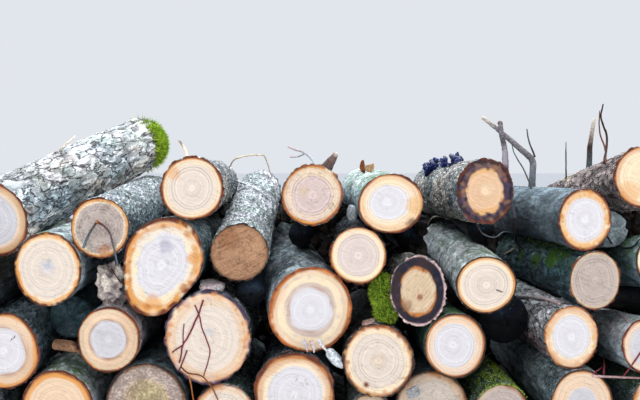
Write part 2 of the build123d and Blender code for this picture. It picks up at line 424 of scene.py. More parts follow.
def flakeGroup():
    # Flaky bark: noise cut into pale scales and dark hollows, and cracks where a second noise crosses its
    # middle value. Both are drawn out along the log by Stretch and bent by a coarser noise.
    inputs = [("Vector", "NodeSocketVector", None), ("Scale", "NodeSocketFloat", 70.0),
              ("Stretch", "NodeSocketFloat", 0.35), ("Crack", "NodeSocketFloat", 0.03)]
    outputs = [("Scale", "NodeSocketFloat"), ("Crack", "NodeSocketFloat"), ("Height", "NodeSocketFloat")]
    tree, entry, leave = newGroup("barkFlakes", inputs, outputs)
    stretch = addNode(tree, "ShaderNodeCombineXYZ",
                      {"X": 1.0, "Y": 1.0, "Z": entry.outputs["Stretch"]}).outputs[0]
    links = {0: entry.outputs["Vector"], 1: stretch}
    drawn = addNode(tree, "ShaderNodeVectorMath", links, operation="MULTIPLY").outputs[0]
    bend = addNode(tree, "ShaderNodeTexNoise",
                   {"Vector": drawn, "Scale": 24.0, "Detail": 3.0}).outputs["Color"]
    offset = addNode(tree, "ShaderNodeVectorMath", {0: bend, 1: (-0.5, -0.5, -0.5)},
                     operation="ADD").outputs[0]
    links = {0: offset, 1: (0.022, 0.022, 0.022), 2: drawn}
    bent = addNode(tree, "ShaderNodeVectorMath", links, operation="MULTIPLY_ADD").outputs[0]
    scales = noiseNode(tree, bent, entry.outputs["Scale"], 5.0, 0.62)
    links = {0: bent, 1: (3.1, 1.7, 5.3)}
    moved = addNode(tree, "ShaderNodeVectorMath", links, operation="ADD").outputs[0]
    wander = noiseNode(tree, moved, mathNode(tree, "MULTIPLY", entry.outputs["Scale"], 0.62), 3.0, 0.55)
    middle = mathNode(tree, "ABSOLUTE", mathNode(tree, "SUBTRACT", wander, 0.5))
    crack = rampNode(tree, middle, 0.0, entry.outputs["Crack"], 1.0, 0.0)
    scale = rampNode(tree, scales, 0.42, 0.60)
    grit = noiseNode(tree, entry.outputs["Vector"], 240.0, 3.0)
    height = mathNode(tree, "MULTIPLY_ADD", grit, 0.3, mathNode(tree, "SUBTRACT", scale, crack))
    tree.links.new(scale, leave.inputs["Scale"])
    tree.links.new(crack, leave.inputs["Crack"])
    tree.links.new(height, leave.inputs["Height"])
    return tree


def speckleGroup():
    # Patches with ragged edges: two noises added, cut at a level that Amount lowers
    inputs = [("Vector", "NodeSocketVector", None), ("Scale", "NodeSocketFloat", 40.0),
              ("Amount", "NodeSocketFloat", 0.5), ("Edge", "NodeSocketFloat", 0.06)]
    tree, entry, leave = newGroup("growthPatches", inputs, [("Mask", "NodeSocketFloat")])
    coarse = noiseNode(tree, entry.outputs["Vector"], entry.outputs["Scale"], 5.0, 0.65)
    fine = noiseNode(tree, entry.outputs["Vector"], mathNode(tree, "MULTIPLY", entry.outputs["Scale"], 4.0),
                     3.0)
    level = mathNode(tree, "MULTIPLY_ADD", fine, 0.4, mathNode(tree, "MULTIPLY", coarse, 0.6))
    start = mathNode(tree, "MULTIPLY_ADD", entry.outputs["Amount"], -0.5, 0.75)
    above = mathNode(tree, "SUBTRACT", level, start)
    spread = mathNode(tree, "DIVIDE", above, entry.outputs["Edge"])
    some = rampNode(tree, entry.outputs["Amount"], 0.0, 0.08)
    mask = mathNode(tree, "MULTIPLY", mathNode(tree, "ADD", spread, 0.5, clamp=True), some)
    tree.links.new(mask, leave.inputs["Mask"])
    return tree


def ringGroup():
    # Growth rings: noise of the distance from the pith alone, so that years are unequal. Line is where it
    # is high, Tone its slow part; a little sway keeps the rings from being true circles.
    inputs = [("Distance", "NodeSocketFloat", 0.0), ("Vector", "NodeSocketVector", None),
              ("Spacing", "NodeSocketFloat", 0.007)]
    tree, entry, leave = newGroup("growthRings", inputs,
                                  [("Line", "NodeSocketFloat"), ("Tone", "NodeSocketFloat")])
    sway = mathNode(tree, "MULTIPLY_ADD", noiseNode(tree, entry.outputs["Vector"], 16.0, 3.0), 0.012,
                    entry.outputs["Distance"])
    years = mathNode(tree, "DIVIDE", sway, entry.outputs["Spacing"])
    links = {"W": years, "Scale": 1.0, "Detail": 2.0, "Roughness": 0.6}
    fine = addNode(tree, "ShaderNodeTexNoise", links, noise_dimensions="1D").outputs["Fac"]
    links = {"W": mathNode(tree, "ADD", years, 31.7), "Scale": 0.22, "Detail": 1.0}
    slow = addNode(tree, "ShaderNodeTexNoise", links, noise_dimensions="1D").outputs["Fac"]
    patch = rampNode(tree, noiseNode(tree, entry.outputs["Vector"], 22.0, 2.0), 0.35, 0.62, 0.45, 1.0)
    line = mathNode(tree, "MULTIPLY", rampNode(tree, fine, 0.46, 0.66), patch)
    tree.links.new(line, leave.inputs["Line"])
    tree.links.new(slow, leave.inputs["Tone"])
    return tree


groups = {"flakes": flakeGroup(), "patches": speckleGroup(), "rings": ringGroup()}


def placeGroup(tree, name, links):
    # A group with its own values in a material
    return addNode(tree, "ShaderNodeGroup", links, node_tree=groups[name])


def greyNode(tree, value):
    # One value in all three channels of a colour
    return addNode(tree, "ShaderNodeCombineColor", {"Red": value, "Green": value, "Blue": value}).outputs[0]


def newMaterial(name, roughness=0.8, specular=0.3):
    # A material with an empty tree but for its shader and output
    material = bpy.data.materials.new(name)
    material.use_nodes = True
    tree = material.node_tree
    shader = tree.nodes["Principled BSDF"]
    shader.inputs["Roughness"].default_value = roughness
    shader.inputs["Specular IOR Level"].default_value = specular
    return material, tree, shader


def attribute(tree, name, output):
    # One of the piece's own mesh attributes
    return addNode(tree, "ShaderNodeAttribute", attribute_name=name).outputs[output]


def bumpInto(tree, shader, height, distance, strength):
    # Fine relief from a height, into the shader's normal
    bump = addNode(tree, "ShaderNodeBump", {"Height": height, "Distance": distance, "Strength": strength})
    tree.links.new(bump.outputs["Normal"], shader.inputs["Normal"])


# Bark by kind: flakes to the metre and how far they are drawn out, width of the cracks, how much lighter
# the scales are, depth in metres, darkness of the cracks (partly painted shade), and lichen patches to the
# metre
barkKinds = {
    "plated": dict(scale=52.0, stretch=0.34, crack=0.045, contrast=0.80, depth=0.006, cracks=0.92,
                   patch=70.0),
    "flaky": dict(scale=84.0, stretch=0.30, crack=0.050, contrast=0.95, depth=0.006, cracks=0.90, patch=90.0),
    "smooth": dict(scale=60.0, stretch=0.30, crack=0.014, contrast=0.60, depth=0.002, cracks=0.60,
                   patch=70.0),
    "speckled": dict(scale=110.0, stretch=0.62, crack=0.034, contrast=1.20, depth=0.006, cracks=0.80,
                     patch=60.0),
}


def barkMaterial(kind):
    # The log's own tone, lighter on scales and dark in cracks (partly painted shade), then lichen, moss, damp
    # with painted shade
    size = barkKinds[kind]
    material, tree, shader = newMaterial(kind + "Bark", 0.88, 0.2)
    grain = attribute(tree, "grain", "Vector")
    tone = attribute(tree, "tone", "Color")
    growth = addNode(tree, "ShaderNodeSeparateColor", {"Color": attribute(tree, "growth", "Color")})
    lichen, moss, dampAndShade = growth.outputs["Red"], growth.outputs["Green"], growth.outputs["Blue"]
    relief = attribute(tree, "relief", "Fac")
    flakes = placeGroup(tree, "flakes", {"Vector": grain, "Scale": size["scale"], "Stretch": size["stretch"],
                                         "Crack": size["crack"]})
    blotch = noiseNode(tree, grain, 16.0, 5.0, 0.65, (1, 1, 0.45))
    light = rampNode(tree, blotch, 0.3, 0.7, 0.70, 1.40)
    scale = mathNode(tree, "MULTIPLY_ADD", flakes.outputs["Scale"], size["contrast"],
                     1.04 - 0.5 * size["contrast"])
    value = mathNode(tree, "MULTIPLY", light, scale)
    grey = greyNode(tree, value)
    pale = placeGroup(tree, "patches", {"Vector": grain, "Scale": size["patch"], "Amount": lichen,
                                        "Edge": 0.07})
    chalky = mixColour(tree, rampNode(tree, noiseNode(tree, grain, 9.0, 2.0), 0.40, 0.62),
                       linear((226, 226, 232)), linear((200, 214, 212)))
    base = mixColour(tree, mathNode(tree, "MULTIPLY", pale.outputs["Mask"], 0.9), tone, chalky)
    base = mixColour(tree, 1.0, base, grey, "MULTIPLY")
    # dark cracks: partly the inner bark's own dark, partly painted shade
    crackDarkAndShade = mathNode(tree, "MULTIPLY", flakes.outputs["Crack"], size["cracks"])
    crackDarkAndShade = mathNode(tree, "MAXIMUM", crackDarkAndShade, relief)
    base = mixColour(tree, crackDarkAndShade, base, linear((30, 30, 38)))
    green = placeGroup(tree, "patches", {"Vector": grain, "Scale": 34.0, "Amount": moss, "Edge": 0.16})
    leaf = mixColour(tree, noiseNode(tree, grain, 260.0, 2.0), linear("fern"), linear("moss"))
    base = mixColour(tree, mathNode(tree, "MULTIPLY", green.outputs["Mask"], 0.9), base, leaf)
    # painted shade along with the damp: the bark is multiplied towards navy, most on the lower side
    base = mixColour(tree, dampAndShade, base, linear("navy"), "MULTIPLY")
    tree.links.new(base, shader.inputs["Base Color"])
    tree.links.new(rampNode(tree, dampAndShade, 0.0, 1.0, 0.9, 0.6), shader.inputs["Roughness"])
    bumpInto(tree, shader, flakes.outputs["Height"], size["depth"], 0.9)
    return material


def cutMaterial():
    # Sawn end: the zones' own colours, ring lines, the saw's scratches and grime
    material, tree, shader = newMaterial("sawnEnd", 0.78, 0.25)
    grain = attribute(tree, "grain", "Vector")
    tone = attribute(tree, "tone", "Color")
    show = addNode(tree, "ShaderNodeSeparateColor", {"Color": attribute(tree, "growth", "Color")})
    rings = placeGroup(tree, "rings", {"Distance": attribute(tree, "relief", "Fac"), "Vector": grain,
                                       "Spacing": 0.0040})
    line = mathNode(tree, "MULTIPLY", rings.outputs["Line"], show.outputs["Red"])
    base = mixColour(tree, mathNode(tree, "MULTIPLY", line, 0.42), tone, linear((148, 112, 88)), "MULTIPLY")
    slow = rampNode(tree, rings.outputs["Tone"], 0.3, 0.7, 0.92, 1.05)
    base = mixColour(tree, 1.0, base, greyNode(tree, slow), "MULTIPLY")
    scratch = noiseNode(tree, attribute(tree, "saw", "Vector"), 60.0, 4.0, 0.7, (7.0, 0.35, 1.0))
    marks = mathNode(tree, "MULTIPLY", rampNode(tree, scratch, 0.5, 0.72), show.outputs["Green"])
    base = mixColour(tree, marks, base, linear((132, 100, 80)), "MULTIPLY")
    fibre = noiseNode(tree, grain, 420.0, 3.0, 0.7)
    base = mixColour(tree, rampNode(tree, fibre, 0.35, 0.7, 0.0, 0.22), base, linear((160, 140, 128)),
                     "MULTIPLY")
    dirt = placeGroup(tree, "patches", {"Vector": grain, "Scale": 38.0, "Amount": show.outputs["Blue"],
                                        "Edge": 0.2})
    base = mixColour(tree, mathNode(tree, "MULTIPLY", dirt.outputs["Mask"], 0.6), base, linear((96, 86, 88)),
                     "MULTIPLY")
    tree.links.new(base, shader.inputs["Base Color"])
    height = mathNode(tree, "MULTIPLY_ADD", scratch, 1.0, mathNode(tree, "MULTIPLY", fibre, 0.4))
    bumpInto(tree, shader, height, 0.0012, 0.7)
    return material


materials = {kind: barkMaterial(kind) for kind in barkKinds}
materials["sawn"] = cutMaterial()
print("materials ready:", ", ".join(material.name for material in materials.values()))


# Logs. Each has its bark (kind, tones, lichen, moss, damp with painted shade) and its sawn face. A face is a
# list of zones from the pith outwards, as (share of the radius where the zone ends, colour). wobble is how
# uneven their edges are, heart moves the pith off the middle in millimetres, rings, saw and grime run from 0
# to 1.
# Blotches are (across, up, size, colour, strength) and checks are cracks (from, to, width), in millimetres.
# Mottle strews spots on a ring: (from, to, colours, count, size), from and to in shares of the radius.

logLook = {
    "top_1": dict(bark="plated", tones=("silver", "shell"), lichen=0.5, moss=0.14, dampAndShade=0.0, detail="fine",
                  zones=[(0.70, "chalk"), (0.78, "peach"), (0.93, (208, 168, 124)), (0.955, "ochre"),
                         (1, "redBark")],
                  wobble=0.02, rings=0.6, saw=0.2, grime=0.1),
    "top_2": dict(bark="speckled", tones=("fog", "frost"), lichen=0.5, moss=0.05, dampAndShade=0.15, detail="fine",
                  zones=[(0.80, "ashWood"), (0.87, "cream"), (0.925, "amber"), (0.945, "rust"),
                         (1, "redBark")],
                  wobble=0.03, rings=0.75, saw=0.35, grime=0.35, blotches=[(10, -62, 26, "ochre", 0.6)]),
    "top_3": dict(bark="speckled", tones=("fog", "shell"), lichen=0.4, moss=0.05, dampAndShade=0.1, detail="fine",
                  zones=[(0.75, "shell"), (0.89, "cream"), (0.915, "amber"), (0.94, "rust"), (1, "redBark")],
                  wobble=0.02, rings=0.9, saw=0.25, grime=0.1, blotches=[(-50, 42, 22, "amber", 0.5)]),
    "top_4": dict(bark="speckled", tones=("frost", (240, 238, 240)), lichen=0.85, moss=0.0, dampAndShade=0.0,
                  detail="fine", zones=[(0.90, (178, 136, 104)), (0.955, (150, 108, 80)), (1, "umber")],
                  wobble=0.02, rings=0.35, saw=0.9, sawTurn=115, grime=0.35,
                  blotches=[(-30, 40, 40, (150, 98, 62), 0.6), (34, 10, 40, (196, 156, 118), 0.5)]),
    "top_5": dict(bark="speckled", tones=("slate", "silver"), lichen=0.4, moss=0.05, dampAndShade=0.1, detail="fine",
                  zones=[(0.62, (216, 196, 190)), (0.86, (234, 212, 184)), (0.90, "amber"), (0.93, "rust"),
                         (1, "redBark")],
                  wobble=0.03, rings=1.0, saw=0.2, grime=0.25, fade=0.5,
                  blotches=[(-22, 10, 20, "sand", 0.6), (46, 70, 16, "cream", 0.9)]),
    "top_6": dict(bark="smooth", tones=("fog", "silver"), lichen=0.55, moss=0.35, dampAndShade=0.0, detail="fine",
                  zones=[(0.60, "milk"), (0.74, "cream"), (0.92, "tan"), (0.955, "ochre"), (1, "redBark")],
                  wobble=0.05, heart=(-12, 6), rings=0.45, saw=0.15, grime=0.1,
                  blotches=[(66, -4, 30, "honey", 0.6), (58, -52, 16, "umber", 0.7),
                            (44, -56, 10, "walnut", 0.6)]),
    "top_7": dict(bark="speckled", tones=("slate", "shell"), lichen=0.35, moss=0.0, dampAndShade=0.15, detail="fine",
                  zones=[(0.60, "flesh"), (0.66, "honey"), (0.87, "plum"), (0.91, "soot"), (1, "redBark")],
                  wobble=0.11, rings=0.45, saw=0.3, grime=0.1, fade=0.15, blotches=[(6, 6, 26, "cream", 0.4)],
                  mottle=(0.64, 0.88, ("umber", "walnut", "soot", "plum", "rust"), 130, 7)),
    "top_8": dict(bark="smooth", tones=((80, 92, 100), "fog"), lichen=0.25, moss=0.06, dampAndShade=0.3,
                  detail="fine",
                  zones=[(0.70, "milk"), (0.76, "peach"), (0.91, "honey"), (0.945, "rust"), (1, "redBark")],
                  wobble=0.04, rings=0.35, saw=0.15, grime=0.1,
                  mottle=(0.76, 0.93, ("ochre", "cream", "amber"), 40, 7)),
    "top_9": dict(bark="plated", tones=((90, 74, 70), (172, 156, 152)), lichen=0.25, moss=0.08, dampAndShade=0.15,
                  detail="fine",
                  zones=[(0.80, "cream"), (0.92, "apricot"), (0.95, "ochre"), (1, "redBark")],
                  wobble=0.03, rings=0.4, saw=0.3, grime=0.1, blotches=[(-40, -40, 40, "amber", 0.5)]),
    "upper_2": dict(bark="smooth", tones=("fog", "silver"), lichen=0.6, moss=0.12, dampAndShade=0.1, detail="fine",
                    zones=[(0.84, "shell"), (0.90, "cream"), (0.955, "amber"), (0.975, "rust"),
                           (1, "redBark")],
                    wobble=0.04, rings=0.5, saw=0.3, grime=0.1, fade=0.5,
                    blotches=[(0, 6, 26, "chalk", 0.7), (0, 6, 12, (166, 174, 190), 0.8),
                              (3, 22, 8, (166, 174, 190), 0.5)],
                    mottle=(0.86, 0.94, ("amber", "honey", "cream"), 40, 8)),
    "upper_3": dict(bark="smooth", tones=("teal", "fog"), lichen=0.4, moss=0.2, dampAndShade=0.2, detail="fine",
                    zones=[(0.66, "milk"), (0.80, "cream"), (0.93, "amber"), (0.95, "ochre"), (1, "redBark")],
                    wobble=0.10, rings=0.3, saw=0.4, grime=0.15, fade=0.6,
                    blotches=[(14, 52, 26, (158, 154, 178), 0.5), (92, 20, 26, "amber", 0.8),
                              (-20, -108, 34, "amber", 0.7), (62, -66, 22, "rust", 0.5)],
                    mottle=(0.80, 0.96, ("amber", "ochre", "cream"), 60, 11)),
    "upper_4": dict(bark="flaky", tones=("rose", "fog"), lichen=0.2, moss=0.25, dampAndShade=0.2, detail="fine",
                    zones=[(0.62, "sand"), (0.66, "ochre"), (0.93, "soot"), (1, "pink")],
                    wobble=0.07, rings=0.35, saw=0.7, sawTurn=-35, grime=0.2, fade=0.05,
                    blotches=[(5, -16, 12, "rust", 0.8), (-30, -40, 22, "walnut", 0.7)],
                    mottle=(0.64, 0.92, ("soot", "umber", "plum"), 40, 7)),
    "upper_5": dict(bark="flaky", tones=("umber", "fog"), lichen=0.2, moss=0.05, dampAndShade=0.5, detail="usual",
                    zones=[(0.74, (222, 206, 198)), (0.88, "cream"), (0.925, "amber"), (0.945, "rust"),
                           (1, "redBark")],
                    wobble=0.03, rings=0.6, saw=0.2, grime=0.05),
    "upper_6": dict(bark="smooth", tones=("silver", "frost"), lichen=0.8, moss=0.35, dampAndShade=0.0, detail="fine",
                    zones=[(0.80, "shell"), (0.90, "cream"), (0.955, "amber"), (0.97, "rust"), (1, "umber")],
                    wobble=0.02, rings=0.9, saw=0.2, grime=0.05, checks=[((28, -14), (44, -20), 3)]),
    "upper_7": dict(bark="plated", tones=("teal", "slate"), lichen=0.2, moss=0.3, dampAndShade=0.25, detail="usual",
                    zones=[(0.86, (192, 178, 168)), (0.92, "sand"), (0.94, "rust"), (1, "redBark")],
                    wobble=0.02, rings=0.8, saw=0.4, grime=0.2),
    "upper_8": dict(bark="smooth", tones=("teal", "fog"), lichen=0.35, moss=0.4, dampAndShade=0.2, detail="usual",
                    zones=[(0.80, "shell"), (0.94, "cream"), (0.97, "rust"), (1, "umber")],
                    wobble=0.03, rings=0.4, saw=0.3, grime=0.1),
    "middle_2": dict(bark="plated", tones=("slate", "fog"), lichen=0.2, moss=0.15, dampAndShade=0.5, detail="usual",
                     zones=[(0.60, "milk"), (0.64, "scorch"), (0.86, "peach"), (0.92, "amber"),
                            (0.945, "rust"), (1, "redBark")],
                     wobble=0.06, rings=0.4, saw=0.2, grime=0.1, checks=[((20, 30), (34, 42), 2)]),
    "middle_3": dict(bark="smooth", tones=("silver", "pink"), lichen=0.4, moss=0.05, dampAndShade=0.3, detail="usual",
                     zones=[(0.58, "chalk"), (0.62, "scorch"), (0.84, "peach"), (0.92, "sand"),
                            (0.945, "ochre"), (1, "redBark")],
                     wobble=0.05, rings=0.35, saw=0.3, grime=0.15),
    "middle_4": dict(bark="flaky", tones=("slate", "frost"), lichen=0.45, moss=0.05, dampAndShade=0.5, detail="usual",
                     zones=[(0.72, "shell"), (0.86, "peach"), (0.93, "apricot"), (0.955, "rust"),
                            (1, "plum")],
                     wobble=0.05, rings=0.35, saw=0.35, grime=0.15, blotches=[(4, 14, 18, "chalk", 0.7)],
                     mottle=(0.80, 0.94, ("amber", "cream", "ochre", "pink"), 60, 9)),
    "middle_5": dict(bark="plated", tones=("umber", "slate"), lichen=0.1, moss=0.1, dampAndShade=0.6, detail="usual",
                     zones=[(0.74, "shell"), (0.86, "cream"), (0.92, "apricot"), (0.945, "rust"),
                            (1, "umber")],
                     wobble=0.06, rings=0.8, saw=0.3, grime=0.15,
                     blotches=[(-32, -66, 10, "rust", 0.9), (-32, -66, 5, "umber", 0.9),
                               (2, 0, 26, "sand", 0.4)],
                     mottle=(0.84, 0.94, ("ochre", "honey", "rust"), 50, 7)),
    "middle_6": dict(bark="smooth", tones=("teal", "fog"), lichen=0.3, moss=0.45, dampAndShade=0.4, detail="usual",
                     zones=[(0.70, "milk"), (0.92, "peach"), (0.955, "ochre"), (0.97, "rust"), (1, "umber")],
                     wobble=0.03, heart=(-8, 3), rings=0.7, saw=0.15, grime=0.05),
    "middle_7": dict(bark="smooth", tones=("slate", "silver"), lichen=0.4, moss=0.15, dampAndShade=0.2,
                     detail="usual",
                     zones=[(0.53, "milk"), (0.57, "scorch"), (0.64, "rose"), (0.80, "cream"),
                            (0.91, "peach"), (0.945, "ochre"), (1, "rust")],
                     wobble=0.08, rings=0.3, saw=0.15, grime=0.1, fade=0.2,
                     mottle=(0.62, 0.90, ("rose", "peach", "cream"), 40, 9)),
    "middle_8": dict(bark="plated", tones=("pink", "fog"), lichen=0.5, moss=0.05, dampAndShade=0.3, detail="fine",
                     zones=[(0.66, "milk"), (0.74, "cream"), (0.90, "apricot"), (0.93, "ochre"),
                            (1, "redBark")],
                     wobble=0.05, rings=0.4, saw=0.2, grime=0.05,
                     mottle=(0.74, 0.93, ("apricot", "honey", "cream"), 50, 8)),
    "middle_9": dict(bark="smooth", tones=("silver", "frost"), lichen=0.7, moss=0.05, dampAndShade=0.1,
                     detail="usual",
                     zones=[(0.72, "chalk"), (0.90, "peach"), (0.95, "ochre"), (1, "redBark")],
                     wobble=0.04, rings=0.3, saw=0.2, grime=0.1),
    "bottom_3": dict(bark="smooth", tones=("silver", "frost"), lichen=0.7, moss=0.35, dampAndShade=0.0,
                     detail="usual",
                     zones=[(0.80, "peach"), (0.94, "amber"), (0.97, "rust"), (1, "redBark")],
                     wobble=0.04, rings=0.4, saw=0.3, grime=0.1),
    "bottom_4": dict(bark="smooth", tones=("slate", "fog"), lichen=0.2, moss=0.1, dampAndShade=0.6, detail="usual",
                     zones=[(0.60, "sand"), (0.92, "rose"), (0.96, "walnut"), (1, "umber")],
                     wobble=0.05, rings=0.4, saw=0.5, grime=0.6,
                     blotches=[(8, 10, 60, (216, 204, 150), 0.6)]),
    "bottom_6": dict(bark="plated", tones=("slate", "fog"), lichen=0.15, moss=0.1, dampAndShade=0.6, detail="usual",
                     zones=[(0.66, "milk"), (0.74, "cream"), (0.86, "apricot"), (0.90, "ochre"),
                            (1, "redBark")],
                     wobble=0.05, rings=0.35, saw=0.3, grime=0.15),
    "bottom_10": dict(bark="smooth", tones=("teal", "silver"), lichen=0.4, moss=0.1, dampAndShade=0.15,
                      detail="usual",
                      zones=[(0.50, "chalk"), (0.88, "peach"), (0.94, "apricot"), (0.965, "ochre"),
                             (1, "umber")],
                      wobble=0.04, rings=0.5, saw=0.25, grime=0.1),
}

# A log that is hidden or barely seen draws its look from these
plainLook = {
    "barks": ("smooth", "plated", "flaky"),
    "tones": (("slate", "fog"), ("teal", "silver"), ("umber", "fog"), ("navy", "slate")),
    "zones": ([(0.78, "shell"), (0.92, "peach"), (0.96, "ochre"), (1, "redBark")],
              [(0.60, "chalk"), (0.88, "peach"), (0.95, "amber"), (1, "umber")],
              [(0.84, "ashWood"), (0.94, "sand"), (0.965, "rust"), (1, "umber")]),
}

# Rows of points on a log: around it, across its face, along its bark and across its rear face
density = {"fine": (120, 26, 98, 4), "usual": (104, 24, 60, 4), "hidden": (52, 8, 18, 3)}
# Bark relief: depth in metres, and scales to the metre across and along the log
barkRelief = {"plated": (0.0044, 40, 13), "flaky": (0.0050, 62, 20), "smooth": (0.0015, 26, 6),
              "speckled": (0.0040, 70, 44)}
barkRoot = 0.94         # share of the radius where wood ends and the bark begins to stand back
barkEdge = 0.932        # share of the radius where the bark's own colour begins on a face
# How uneven a log's outline is, in metres
barkRagged = {"plated": 0.0034, "flaky": 0.0036, "smooth": 0.0018, "speckled": 0.0034}
barkReach = (-0.007, 0.002)     # how far the relief may go in and out of the log's own outline, in metres


# Logs deep in the hollows: their ends are dented domes that take the bark's look. Unless listed below,
# they are painted navy and soot with heavy damp, as painted shade.
hollowLook = dict(bark="smooth", zones=[(1, "soot")], lichen=0.05, moss=0.15, dampAndShade=0.85, detail="hidden",
                  wobble=0.02, rings=0.0, saw=0.3, grime=1.0)
# these two keep lighter tones and less painted shade
hollowTones = {"wedge_8": ("fog", "frost"), "wedge_1": ("teal", "slate")}
hollowDampAndShade = {"wedge_8": 0.1, "wedge_1": 0.35}


def lookOf(name):
    # The log's own look, or one drawn by its name's letters where it has none
    plain = dict(heart=(0, 0), blotches=(), checks=(), sawTurn=70, weathered=False, mottle=None, fade=0.3)
    if name in logLook:
        return plain | logLook[name]
    if name.startswith("wedge"):
        # other hollow logs: navy and soot tones with heavy damp, as painted shade
        tones, dampAndShade = hollowTones.get(name, ("navy", "soot")), hollowDampAndShade.get(name, 0.85)
        return plain | hollowLook | dict(tones=tones, dampAndShade=dampAndShade, weathered=True)
    draw = np.random.default_rng(seedOf(name, 3))
    chosen = {key: values[draw.integers(len(values))] for key, values in plainLook.items()}
    return plain | dict(bark=chosen["barks"], tones=chosen["tones"], zones=chosen["zones"],
                        lichen=draw.uniform(0.1, 0.5), moss=draw.uniform(0, 0.4), dampAndShade=draw.uniform(0.3, 0.6),
                        wobble=0.04, rings=0.5, saw=0.3, grime=draw.uniform(0, 0.4), detail="hidden",
                        sawTurn=draw.uniform(0, 180))


# Patches that the photo shows on the bark of each log: (pixel across, pixel down, radius in millimetres,
# moss or a tone, strength)
barkSpots = {
    "top_1": [(164, 150, 34, "moss", 0.9), (120, 176, 40, "moss", 0.35)],
    "top_2": [(85, 243, 30, "frost", 0.7), (98, 205, 40, "moss", 0.3), (150, 180, 24, "frost", 0.5)],
    "top_3": [(228, 168, 20, "fog", 0.5)],
    "top_6": [(352, 190, 30, (186, 206, 190), 0.7)],
    "top_9": [(603, 185, 12, "umber", 0.9), (567, 178, 30, (160, 166, 110), 0.6), (579, 172, 9, "rust", 0.7)],
    "upper_2": [(96, 270, 24, "fog", 0.5), (40, 236, 40, "moss", 0.6), (62, 226, 34, "moss", 0.6)],
    "upper_4": [(402, 257, 34, "silver", 0.8)],
    "upper_5": [(350, 212, 20, "milk", 0.8)],
    "upper_6": [(433, 222, 22, "frost", 0.7), (448, 236, 26, "teal", 0.4), (462, 262, 20, "moss", 0.4)],
    "upper_7": [(552, 256, 45, "moss", 0.9), (535, 260, 34, "moss", 0.8), (566, 252, 26, "moss", 0.8),
                (520, 256, 30, "moss", 0.5), (612, 262, 12, "moss", 0.7)],
    "upper_8": [(628, 268, 12, "moss", 0.7)],
    "middle_3": [(150, 330, 30, "pink", 0.4)],
    "middle_4": [(212, 283, 26, "milk", 0.9), (200, 287, 16, "milk", 0.7)],
    "middle_6": [(428, 345, 20, "moss", 0.5)],
    "middle_7": [(288, 260, 40, "fog", 0.6)],
    "middle_8": [(548, 307, 34, "milk", 0.8), (530, 303, 30, "pink", 0.7), (525, 333, 9, "moss", 0.9)],
    "middle_9": [(617, 363, 12, "moss", 0.8), (620, 324, 30, "silver", 0.8), (638, 330, 26, "pink", 0.6)],
    "bottom_3": [(62, 366, 50, "frost", 0.6), (90, 380, 40, "moss", 0.5)],
    "bottom_6": [(285, 352, 26, "pink", 0.7), (312, 353, 26, "milk", 0.7)],
    "bottom_8": [(448, 389, 50, "moss", 0.8), (420, 390, 30, "moss", 0.5)],
    "bottom_10": [(520, 372, 40, "teal", 0.5)],
    "wedge_5": [(300, 245, 34, "pink", 0.6)],
}


def zoneColours(look, ringShare, theta, seed):
    # Colour of a face from its zones: each edge bends with the angle, by a ripple times the wobble, and a
    # zone's own colour fades and comes back round the face
    colours = np.broadcast_to(linear(look["zones"][0][1]), ringShare.shape + (3,)).copy()
    still = np.zeros_like(theta)
    squeeze = min(1.0, barkEdge / look["zones"][-2][0]) if len(look["zones"]) > 1 else 1.0
    for step, ((edge, _), (_, name)) in enumerate(zip(look["zones"], look["zones"][1:])):
        edge *= squeeze
        bend = 1 + look["wobble"] * ripple(theta, still, seed + step, 12, 9, 1.0) * (1.15 - edge ** 8)
        soft = 0.012 + 0.05 * (1 - edge)
        mix = smooth(edge * bend - soft, edge * bend + soft, ringShare)
        fade = 0.0 if edge > 0.93 else look["fade"]
        held = np.clip(1 - fade * (0.5 + 0.8 * ripple(theta, still, seed + 60 + step, 8, 5, 1.0)), 0, 1)
        colours = paintOver(colours, name, mix * held)
    rough = 1 + 0.55 * ripple(theta, ringShare * 0.4, seed + 90, 24, 60, 0.2)
    bark = smooth(barkEdge - 0.02, barkEdge + 0.01, ringShare)
    return colours * (1 - bark * (1 - np.clip(rough, 0.35, 1.9)))[..., None]


def distanceToLine(across, up, start, end):
    # Distance from points to a segment: the foot's place along it is held between the two ends
    start, end = np.array(start, float), np.array(end, float)
    way = end - start
    foot = np.clip(((across - start[0]) * way[0] + (up - start[1]) * way[1]) / (way @ way), 0, 1)
    return np.hypot(across - start[0] - foot * way[0], up - start[1] - foot * way[1])


def layGrid(name):
    # A log's points by row and angle. Rows run from the front pith over the face to the rim, along the bark,
    # and over the rear face to its pith; side is -1 on the front face, 0 on the bark and 1 on the rear face.
    log = SimpleNamespace(name=name, form=forms[name], look=lookOf(name), seed=seedOf(name))
    log.around, log.faceRows, barkRows, log.rearRows = density[log.look["detail"]]
    faceSteps = np.linspace(0, 1, log.faceRows + 1)[1:] ** 0.8      # closer together towards the rim
    barkSteps = np.linspace(0, 1, barkRows)[1:-1] ** 1.25           # and towards the front
    rearSteps = np.linspace(1, 0, log.rearRows + 1)[:-1]
    share = np.concatenate([np.zeros(log.faceRows), barkSteps, np.ones(log.rearRows)])
    reachShare = np.concatenate([faceSteps, np.ones(barkRows - 2), rearSteps])
    side = np.concatenate([np.full(log.faceRows, -1), np.zeros(barkRows - 2), np.full(log.rearRows, 1)])
    turns = np.linspace(0, 2 * math.pi, log.around, endpoint=False) - math.pi / 2
    log.theta = np.broadcast_to(turns, (len(share), log.around))
    log.share, log.reachShare, log.side = (np.broadcast_to(steps[:, None], log.theta.shape)
                                           for steps in (share, reachShare, side))
    log.metres = log.share * log.form["length"]
    log.radius = radiusAt(log.form, log.theta, log.share)
    log.spots = np.stack([log.radius * np.cos(log.theta), log.radius * np.sin(log.theta), log.metres],
                         axis=-1)
    log.sawn = (log.side != 0) & (not log.look["weathered"])
    return log


